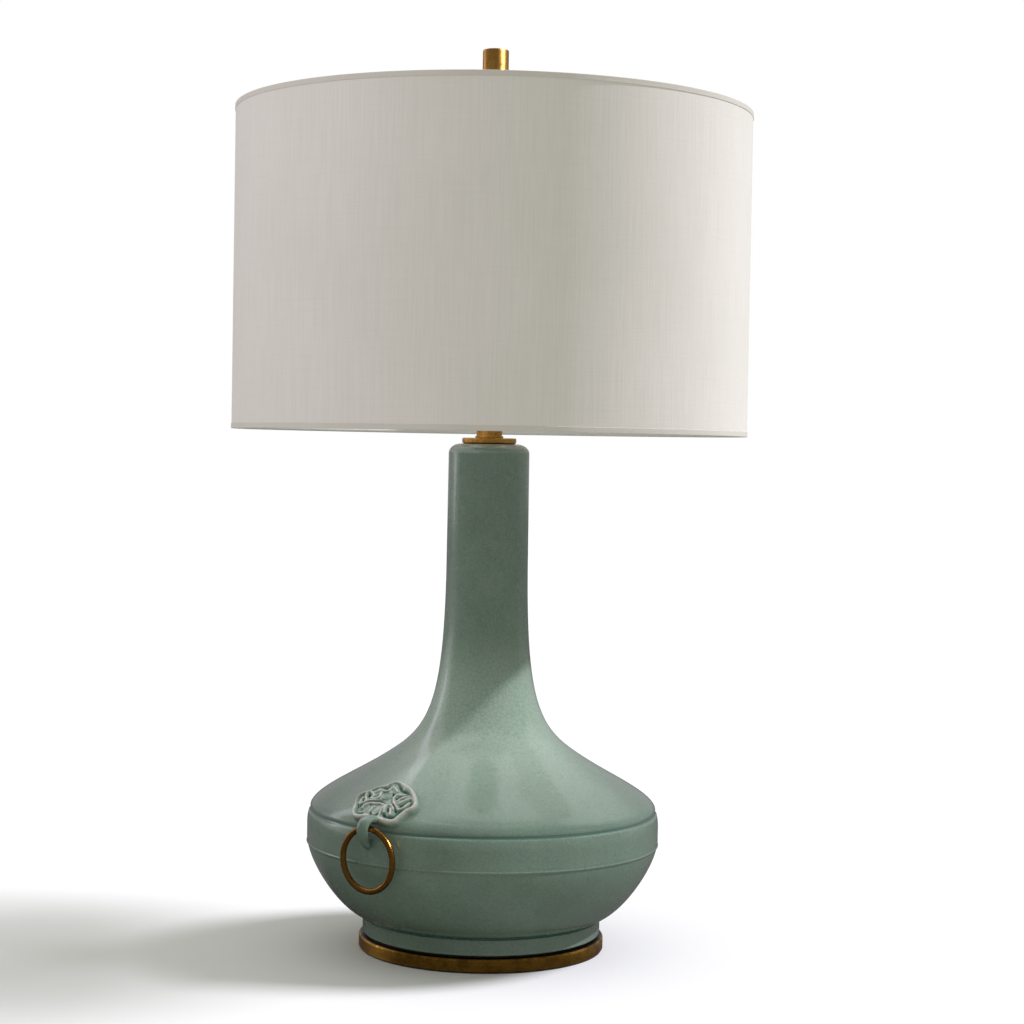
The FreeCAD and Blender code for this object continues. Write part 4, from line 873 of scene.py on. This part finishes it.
def cloud_height(across, up, share):
    """Height over the shoulder and glaze mark of the cloud's top. Share is 0 in the middle and
    1 at the edge."""
    crest = np.exp(-(distance_to(loop_back(CLOUD_CREST), across, up) / CREST_W) ** 2)
    raised = strokes(RAISED, across, up, RAISED_W)
    cut = strokes(CUT, across, up, CUT_W)
    from_boss = np.hypot(across - BOSS[0], up - BOSS[1])
    boss = np.clip(1 - (from_boss / BOSS_R) ** 2, 0, 1)
    boss_ring = np.exp(-((from_boss - BOSS_R) / 0.8) ** 2)
    beads = np.zeros(across.shape)
    for x, y in BEADS:
        beads = np.maximum(beads, np.exp(-(np.hypot(across - x, up - y) / 1.2) ** 2))
    proud = np.maximum.reduce([CREST_H * crest, RAISED_H * raised, boss, 1.1 * boss_ring,
                               1.7 * beads])
    sunk = cut * (1 - 0.55 * np.maximum(crest, raised))
    swell = 0.35 * np.sin(across / 3.1 + 0.6) * np.sin(up / 2.7)
    top = CLOUD_FLOOR + swell + proud - CUT_H * sunk
    inside = np.clip((1 - share) / 0.15, 0, 1)
    wall = np.clip((inside - 0.12) / 0.70, 0, 1) ** 1.2
    wall = np.sin(wall * math.pi / 2)
    height = wall * top - (1 - wall) * CLOUD_SINK
    marks = 1.25 * np.maximum.reduce([crest, raised, 0.7 * boss_ring, beads]) - 0.38 - 1.1 * sunk
    # Darkest round the cloud's foot: glaze pooled where it meets the shoulder, and painted shadow
    # under its edge.
    marks = marks * np.clip(3 * inside - 0.5, 0, 1) - 0.75 * np.clip(1 - 2.2 * inside, 0, 1)
    return height, marks


def loop_back(points):
    """A smooth closed line through the points."""
    line = smooth_through(points, 6 * len(points), closed=True)
    return np.concatenate([line, line[:1]])


def make_cloud(side, azimuth):
    """A disc of rings that shrink from the outline to the middle: edge * share + middle. A second
    set of rings closes it underneath."""
    crest = smooth_through(CLOUD_CREST, CLOUD_COLUMNS, closed=True)
    step = np.roll(crest, -1, 0) - np.roll(crest, 1, 0)
    outward = np.stack([step[:, 1], -step[:, 0]], -1)
    edge = crest + outward / np.linalg.norm(outward, axis=1, keepdims=True) * CREST_TO_EDGE
    middle = np.array(CLOUD_MIDDLE)
    share = np.concatenate([[0, 0.5, 1], 1 - np.linspace(0, 1, CLOUD_ROWS) ** 1.35])
    share[3] = 0.999
    spot = middle + (edge - middle)[None] * share[:, None, None]
    across, up = spot[..., 0], spot[..., 1]
    height, marks = cloud_height(across, up, share[:, None] + np.zeros(CLOUD_COLUMNS))
    height[:3] = -CLOUD_SINK
    marks[:3] = 0
    grid = shoulder_place(across, up, height, azimuth)
    surface("cloud_sprig_" + side, grid, "root", celadon, ("cloud_" + side,),
            relief=marks)


# ---- Loops and rings -------------------------------------------------------------------------

def make_loop(side, azimuth):
    """A clay strap: from under the cloud out over the ring's wire, down round it and back on to
    the band, its tip laid over to the left. It narrows and flattens towards the tip."""
    route = smooth_through(LOOP_ROUTE, LOOP_ROWS)
    heading = np.gradient(route, axis=0)
    heading /= np.linalg.norm(heading, axis=1, keepdims=True)
    right = np.array((0, 1.0, 0)) - heading * heading[:, 1:2]
    right /= np.linalg.norm(right, axis=1, keepdims=True)
    outward = np.cross(heading, right)
    t = np.linspace(0, 1, len(route))
    grid = swept(route, right, -outward, np.interp(t, *LOOP_HALF_WIDTH),
                 np.interp(t, *LOOP_HALF_THICKNESS), LOOP_COLUMNS, power=2.05)
    grid = held_off(grid, RING_WIRE_R + LOOP_CLEARANCE)
    turn = np.linspace(0, math.tau, LOOP_COLUMNS, endpoint=False)
    crown = np.cos(turn - math.pi / 2)
    rib = np.exp(-((np.abs(np.cos(turn)) - 0.78) / 0.16) ** 2)
    marks = (1.1 * rib * (crown > -0.2))[None] * (1 - 0.4 * t[:, None])
    marks -= 0.25 * np.clip(-crown, 0, 1)[None]
    marks -= 1.1 * np.clip((t[:, None] - 0.80) / 0.2, 0, 1) * (1 - 0.8 * rib[None])
    marks -= 0.5 * np.clip((0.12 - t[:, None]) / 0.12, 0, 1)
    ends = grid.mean(axis=1, keepdims=True)
    grid = np.concatenate([ends[:1] + 0 * grid[:1], grid, ends[-1:] + 0 * grid[-1:]])
    marks = np.concatenate([marks[:1], marks, marks[-1:]])
    surface("clay_loop_" + side, placed(grid, azimuth), "root", celadon,
            ("ring_loop_" + side,), relief=marks)


def held_off(grid, clear):
    """Moves any point nearer to the ring's wire than the clearance straight away from it."""
    pivot_r, pivot_z = RING_PIVOT
    r, z = grid[..., 0] - pivot_r, grid[..., 2] - pivot_z
    far = np.hypot(r, z)
    push = np.maximum(far, clear) / np.maximum(far, 1e-6)
    moved = grid.copy()
    moved[..., 0] = pivot_r + r * push
    moved[..., 2] = pivot_z + z * push
    return moved


def make_ring(side, azimuth):
    """A torus in the upright plane that touches the loop: the wire's circle carried round the
    ring's circle, with the slight flats of a hand-bent wire."""
    pivot_r, pivot_z = RING_PIVOT
    turn = np.linspace(0, math.tau, 180, endpoint=False)[:, None]
    wire = np.linspace(0, math.tau, 28, endpoint=False)[None]
    thin = RING_WIRE_R * (1 - 0.012 * (1 + np.sin(5 * turn + 0.7)))
    reach = RING_MEAN_R + thin * np.cos(wire)
    grid = np.stack([pivot_r + thin * np.sin(wire), reach * np.sin(turn),
                     pivot_z - RING_MEAN_R + reach * np.cos(turn)], -1)
    surface("brass_ring_" + side, placed(grid, azimuth), "ring_" + side, ring_brass,
            ("ring_handle_" + side,), closed_rows=True)


# ---- Finial and felt -------------------------------------------------------------------------

def make_finial():
    turned("finial_cylinder", rounded([
        (FINIAL_BORE_R, FINIAL_LOW, 0), (FINIAL_R, FINIAL_LOW, 0.3), (FINIAL_R, FINIAL_TOP, 1.2),
        (0, FINIAL_TOP, 0)], closed=False), "finial", aged_brass, "aged_brass", ("finial",),
        columns=96, closed=False)


def make_felt():
    turned("felt_disc", rounded([
        (0, FELT_T, 0), (0, 0, 0), (FELT_R - 0.2, 0, 0.4), (FELT_R, FELT_T, 0.3)],
        spacing=12.0)[1:], "root", felt, "felt", ("felt_pad",), columns=160, closed=False)


# ---- Shade -----------------------------------------------------------------------------------

def make_shade():
    low, high = SHADE_LOW + HEM_T, SHADE_TOP - HEM_T
    columns = 300
    cover = turned("linen_cover", rounded([
        (SHADE_SHEET_R, low, 0), (SHADE_R, low, 0), (SHADE_R, high, 0),
        (SHADE_SHEET_R, high, 0)], spacing=8.0), "shade", linen, "linen", ("shade_fabric",),
        columns=columns)
    liner = turned("styrene_liner", rounded([
        (SHADE_INNER_R, low, 0), (SHADE_SHEET_R, low, 0), (SHADE_SHEET_R, high, 0),
        (SHADE_INNER_R, high, 0)], spacing=12.0), "shade", styrene, "styrene",
        ("shade_liner",), columns=columns)
    # The hems wear the darker linen: painted shade on the rolled edges.
    top = turned("top_hem_roll", hem_profile(SHADE_TOP, -1), "shade", hem_linen, "linen",
                 ("top_hem",), columns=columns)
    bottom = turned("bottom_hem_roll", hem_profile(SHADE_LOW, 1), "shade", hem_linen, "linen",
                    ("bottom_hem",), columns=columns)
    seam = make_seam()


def hem_profile(edge, inward):
    """Cloth rolled over the edge of the shade, from inside the ring round to the outer face."""
    corners = [
        (RIM_R, edge, 0.2), (HEM_R, edge, 0.45), (HEM_R, edge + inward * HEM_H, 0.2),
        (SHADE_R, edge + inward * HEM_H, 0), (SHADE_R, edge + inward * HEM_T, 0),
        (RIM_R, edge + inward * HEM_T, 0)]
    profile = rounded(corners, spacing=2.0)
    return profile if inward > 0 else profile[::-1]


def make_seam():
    """The overlap of the cloth down the back: a thin strip bent to the drum, feathered at its
    two long edges."""
    low, high = SHADE_LOW + HEM_H, SHADE_TOP - HEM_H
    side = np.linspace(-1, 1, 13)
    proud = SEAM_T * (1 - np.abs(side) ** 6)
    angle = math.pi / 2 + side[::-1] * SEAM_W / 2 / SHADE_R
    outer = np.stack([(SHADE_R + proud) * np.cos(angle), (SHADE_R + proud) * np.sin(angle)], -1)
    inner = np.stack([SHADE_R * np.cos(angle[1:-1]), SHADE_R * np.sin(angle[1:-1])], -1)[::-1]
    strip = np.concatenate([outer[::-1], inner])
    height = np.linspace(low, high, 40)
    grid = np.concatenate([
        np.broadcast_to(strip[None], (40, *strip.shape)),
        height[:, None, None] + np.zeros((40, len(strip), 1))], -1)
    middle = grid.mean(axis=1, keepdims=True)
    grid = np.concatenate([middle[:1] + 0 * grid[:1], grid, middle[-1:] + 0 * grid[-1:]])
    rise = np.concatenate([[low], height, [high]])
    # The seam wears the darker linen: painted shade along the overlap.
    return surface("back_seam", grid, "shade", hem_linen, ("shade_seam",),
                   uv=(np.linspace(0, 2 * SEAM_W, len(strip) + 1), rise))


# ---- Camera, light and floor -----------------------------------------------------------------

CAMERA_YAW = -0.0109
CAMERA_PITCH = 0.029
CAMERA_ROLL = 0.0175
CAMERA_BACK = 1.7433
CAMERA_UP = 0.3972
LENS = 77.17


def aim_camera():
    c, s = math.cos(CAMERA_YAW), math.sin(CAMERA_YAW)
    cp, sp = math.cos(CAMERA_PITCH), math.sin(CAMERA_PITCH)
    ahead = Vector((-s * cp, c * cp, -sp))
    level_up = Vector((-s * sp, c * sp, cp))
    level_right = Vector((c, s, 0))
    cr, sr = math.cos(CAMERA_ROLL), math.sin(CAMERA_ROLL)
    right = cr * level_right + sr * level_up
    up = cr * level_up - sr * level_right
    data = bpy.data.cameras.new("camera")
    data.lens = LENS
    data.sensor_width = 36
    camera = bpy.data.objects.new("camera", data)
    camera.matrix_world = Matrix(((right.x, up.x, -ahead.x, 0),
                                  (right.y, up.y, -ahead.y, -CAMERA_BACK),
                                  (right.z, up.z, -ahead.z, CAMERA_UP), (0, 0, 0, 1)))
    bpy.context.scene.collection.objects.link(camera)
    bpy.context.scene.camera = camera


def lamp(name, place, target, size, power, colour=(1, 1, 1), height=None):
    data = bpy.data.lights.new(name, "AREA")
    data.size = size
    if height:
        data.shape = "RECTANGLE"
        data.size_y = height
    data.energy = power
    data.color = colour
    made = bpy.data.objects.new(name, data)
    made.location = place
    made.rotation_euler = (Vector(target) - made.location).to_track_quat("-Z", "Y").to_euler()
    bpy.context.scene.collection.objects.link(made)
    return made


def strip_lamp(name, low, high, target, width, power, colour):
    """A narrow upright lamp from one end point to the other, facing the target."""
    low, high = Vector(low), Vector(high)
    made = lamp(name, (low + high) / 2, target, width, power, colour, (high - low).length)
    back = (made.location - Vector(target)).normalized()
    side = (high - low).cross(back).normalized()
    rise = back.cross(side)
    made.rotation_euler = Matrix((side, rise, back)).transposed().to_euler()
    return made


def sun(name, azimuth, elevation, strength, width, colour):
    """A distant lamp: azimuth from the front towards the right, elevation over the floor."""
    data = bpy.data.lights.new(name, "SUN")
    data.energy = strength
    data.angle = math.radians(width)
    data.color = colour
    made = bpy.data.objects.new(name, data)
    a, e = math.radians(azimuth), math.radians(elevation)
    toward = Vector((math.sin(a) * math.cos(e), -math.cos(a) * math.cos(e), math.sin(e)))
    made.rotation_euler = toward.to_track_quat("Z", "Y").to_euler()
    made.location = toward * 3
    bpy.context.scene.collection.objects.link(made)
    return made


def limit(light, pieces, hidden_from):
    """Lets a lamp light the given pieces alone, and hides it from diffuse or glossy rays."""
    setattr(light, "visible_" + hidden_from, False)
    chosen = bpy.data.collections.new(light.name + "_reach")
    for piece in pieces:
        chosen.objects.link(piece)
    light.light_linking.receiver_collection = chosen


AMBIENT = (0.53, 0.535, 0.48, 1)
STUDIO_FRONT = 0.14
STUDIO_LOW = 0.30
STUDIO_HIGH = 1.0
STUDIO_LEFT = 0.75
FLOOR_BOUNCE = (0.54, 0.54, 0.52, 1)
FLOOR_MIRRORED = (0.13, 0.13, 0.13, 1)

# Where the parts of the studio begin and are full, as parts of a direction of length 1.
BEHIND = (-0.1, 0.25)
OVERHEAD = (0.3, 0.88)
FAR_LEFT = (-0.55, -0.95)


def light_world():
    """White where the camera or glass sees it. A reflection sees the white backdrop behind and
    over the lamp, and the dimmer studio in front. As a light it is a soft warm grey."""
    world = bpy.data.worlds.new("studio")
    world.use_nodes = True
    bpy.context.scene.world = world
    tree = Tree(world.node_tree)
    background = world.node_tree.nodes["Background"]
    way = tree.node("ShaderNodeSeparateXYZ",
                    in_Vector=tree.node("ShaderNodeTexCoord").outputs["Generated"])
    behind = tree.span(way.outputs["Y"], *BEHIND)
    high = tree.span(way.outputs["Z"], *OVERHEAD, STUDIO_LOW, STUDIO_HIGH)
    left = tree.span(way.outputs["X"], *FAR_LEFT, 0.0, STUDIO_LEFT)
    backdrop = tree.maths("MULTIPLY", tree.maths("MAXIMUM", high, left), behind)
    backdrop = tree.maths("MAXIMUM", backdrop, STUDIO_FRONT)
    seen = tree.node("ShaderNodeLightPath")
    white = tree.maths("ADD", seen.outputs["Is Camera Ray"], seen.outputs["Is Transmission Ray"],
                       clamp=True)
    grey = tree.mix(seen.outputs["Is Glossy Ray"], AMBIENT, (1, 1, 1, 1))
    mirrored = tree.mix(1.0, grey, backdrop, "MULTIPLY")
    grey = tree.mix(seen.outputs["Is Glossy Ray"], grey, mirrored)
    tree.feed(background.inputs["Color"], tree.mix(white, grey, (1, 1, 1, 1)))
    background.inputs["Strength"].default_value = 1.0


def lay_floor():
    """A pale floor, white to the camera where the light reaches it, with the lamp's shadow. The
    lamp itself gets back only the soft grey of a floor that falls away from the light."""
    mesh = bpy.data.meshes.new("floor")
    reach = 12.0
    mesh.from_pydata([(-reach, -reach, 0), (reach, -reach, 0), (reach, reach, 0),
                      (-reach, reach, 0)], [], [(0, 1, 2, 3)])
    floor = bpy.data.objects.new("floor", mesh)
    bpy.context.scene.collection.objects.link(floor)
    made, tree, shader = material("studio_floor", roughness=0.9, Specular_IOR_Level=0.0)
    paper = tree.noise(objects_of(tree), 3.0, detail=3.0)
    pale = tree.mix(tree.span(paper, 0.3, 0.7), (0.955, 0.955, 0.98, 1), (0.96, 0.96, 0.985, 1))
    seen = tree.node("ShaderNodeLightPath")
    given_back = tree.mix(seen.outputs["Is Glossy Ray"], FLOOR_BOUNCE, FLOOR_MIRRORED)
    tree.feed(shader.inputs["Base Color"],
              tree.mix(seen.outputs["Is Camera Ray"], given_back, pale))
    mesh.materials.append(made)


KEY_COLOUR = (1.0, 0.985, 1.06)
FILL_COLOUR = (1.0, 0.92, 1.10)
STRIP_COLOUR = (1.0, 0.95, 1.08)

# Name, azimuth, elevation, strength, width in degrees and the pieces that it lights.
KEYS = (
    ("jar_key", 80.0, 47.6, 3.1, 2.0, "others"),
    ("shade_key", 105.0, 44.0, 3.4, 3.0, "shade"),
    ("floor_key", 100.0, 45.0, 2.6, 19.0, "floor"),
)
GLINTS = (
    ("finial_glint", 84.0, 45.0, 15.0, 20.0, "finial"),
    ("ring_glint", 84.0, 45.0, 2.5, 20.0, "rings"),
)
# Name, place, size, power and the pieces that it lights.
FILLS = (
    ("left_fill", (-1.6, 0.33, 1.15), 0.62, 9.0, "others"),
    ("shade_fill", (-1.5, -0.45, 1.45), 0.9, 9.0, "shade"),
)
FILL_TARGET = (0, 0, 0.35)
FILL_HEIGHT = 1.5
STRIP_LOW = (-1.81, 0.59, 0.30)
STRIP_HIGH = (-0.70, 1.0, 1.75)
STRIP_TARGET = (0, 0, 0.2)
STRIP_WIDTH = 0.30
STRIP_POWER = 1.9
SHADE_PIECES = ("linen_cover", "styrene_liner", "top_hem_roll", "bottom_hem_roll", "back_seam")


def lit_pieces():
    """The objects that the lamps light, by the words that their tables use."""
    meshes = [o for o in bpy.data.objects if o.type == "MESH" and o.name != "floor"]
    others = [o for o in meshes if o.name not in SHADE_PIECES]
    return {
        "floor": [bpy.data.objects["floor"]],
        "shade": [o for o in meshes if o.name in SHADE_PIECES],
        "others": others,
        "finial": [o for o in others if o.name.startswith("finial")],
        "rings": [o for o in others if o.name.startswith("brass_ring")],
    }


def light_studio():
    """The key stands to the right and the fill to the left. The drum, the jar and the floor each
    have a key of their own, because the real one was broad and near. The glints and the strip
    are seen in reflections alone."""
    light_world()
    lit = lit_pieces()
    for table, hidden_from in ((KEYS, "glossy"), (GLINTS, "diffuse")):
        for name, azimuth, elevation, strength, width, pieces in table:
            made = sun(name, azimuth, elevation, strength, width, KEY_COLOUR)
            limit(made, lit[pieces], hidden_from)
    strip = strip_lamp("left_strip", STRIP_LOW, STRIP_HIGH, STRIP_TARGET, STRIP_WIDTH,
                       STRIP_POWER, STRIP_COLOUR)
    limit(strip, lit["others"], "diffuse")
    for name, place, size, power, pieces in FILLS:
        fill = lamp(name, place, FILL_TARGET, size, power, FILL_COLOUR,
                    height=FILL_HEIGHT * size)
        limit(fill, lit[pieces], "glossy")


# ---- Assembly --------------------------------------------------------------------------------

aim_camera()
dress_nodes()
make_jar()
for side, azimuth in (("front", CLOUD_AZIMUTH), ("back", CLOUD_AZIMUTH + 180)):
    make_cloud(side, azimuth)
    make_loop(side, azimuth)
    make_ring(side, azimuth)
make_finial()
make_felt()
make_shade()
lay_floor()
light_studio()
bpy.context.scene.view_settings.view_transform = "Standard"
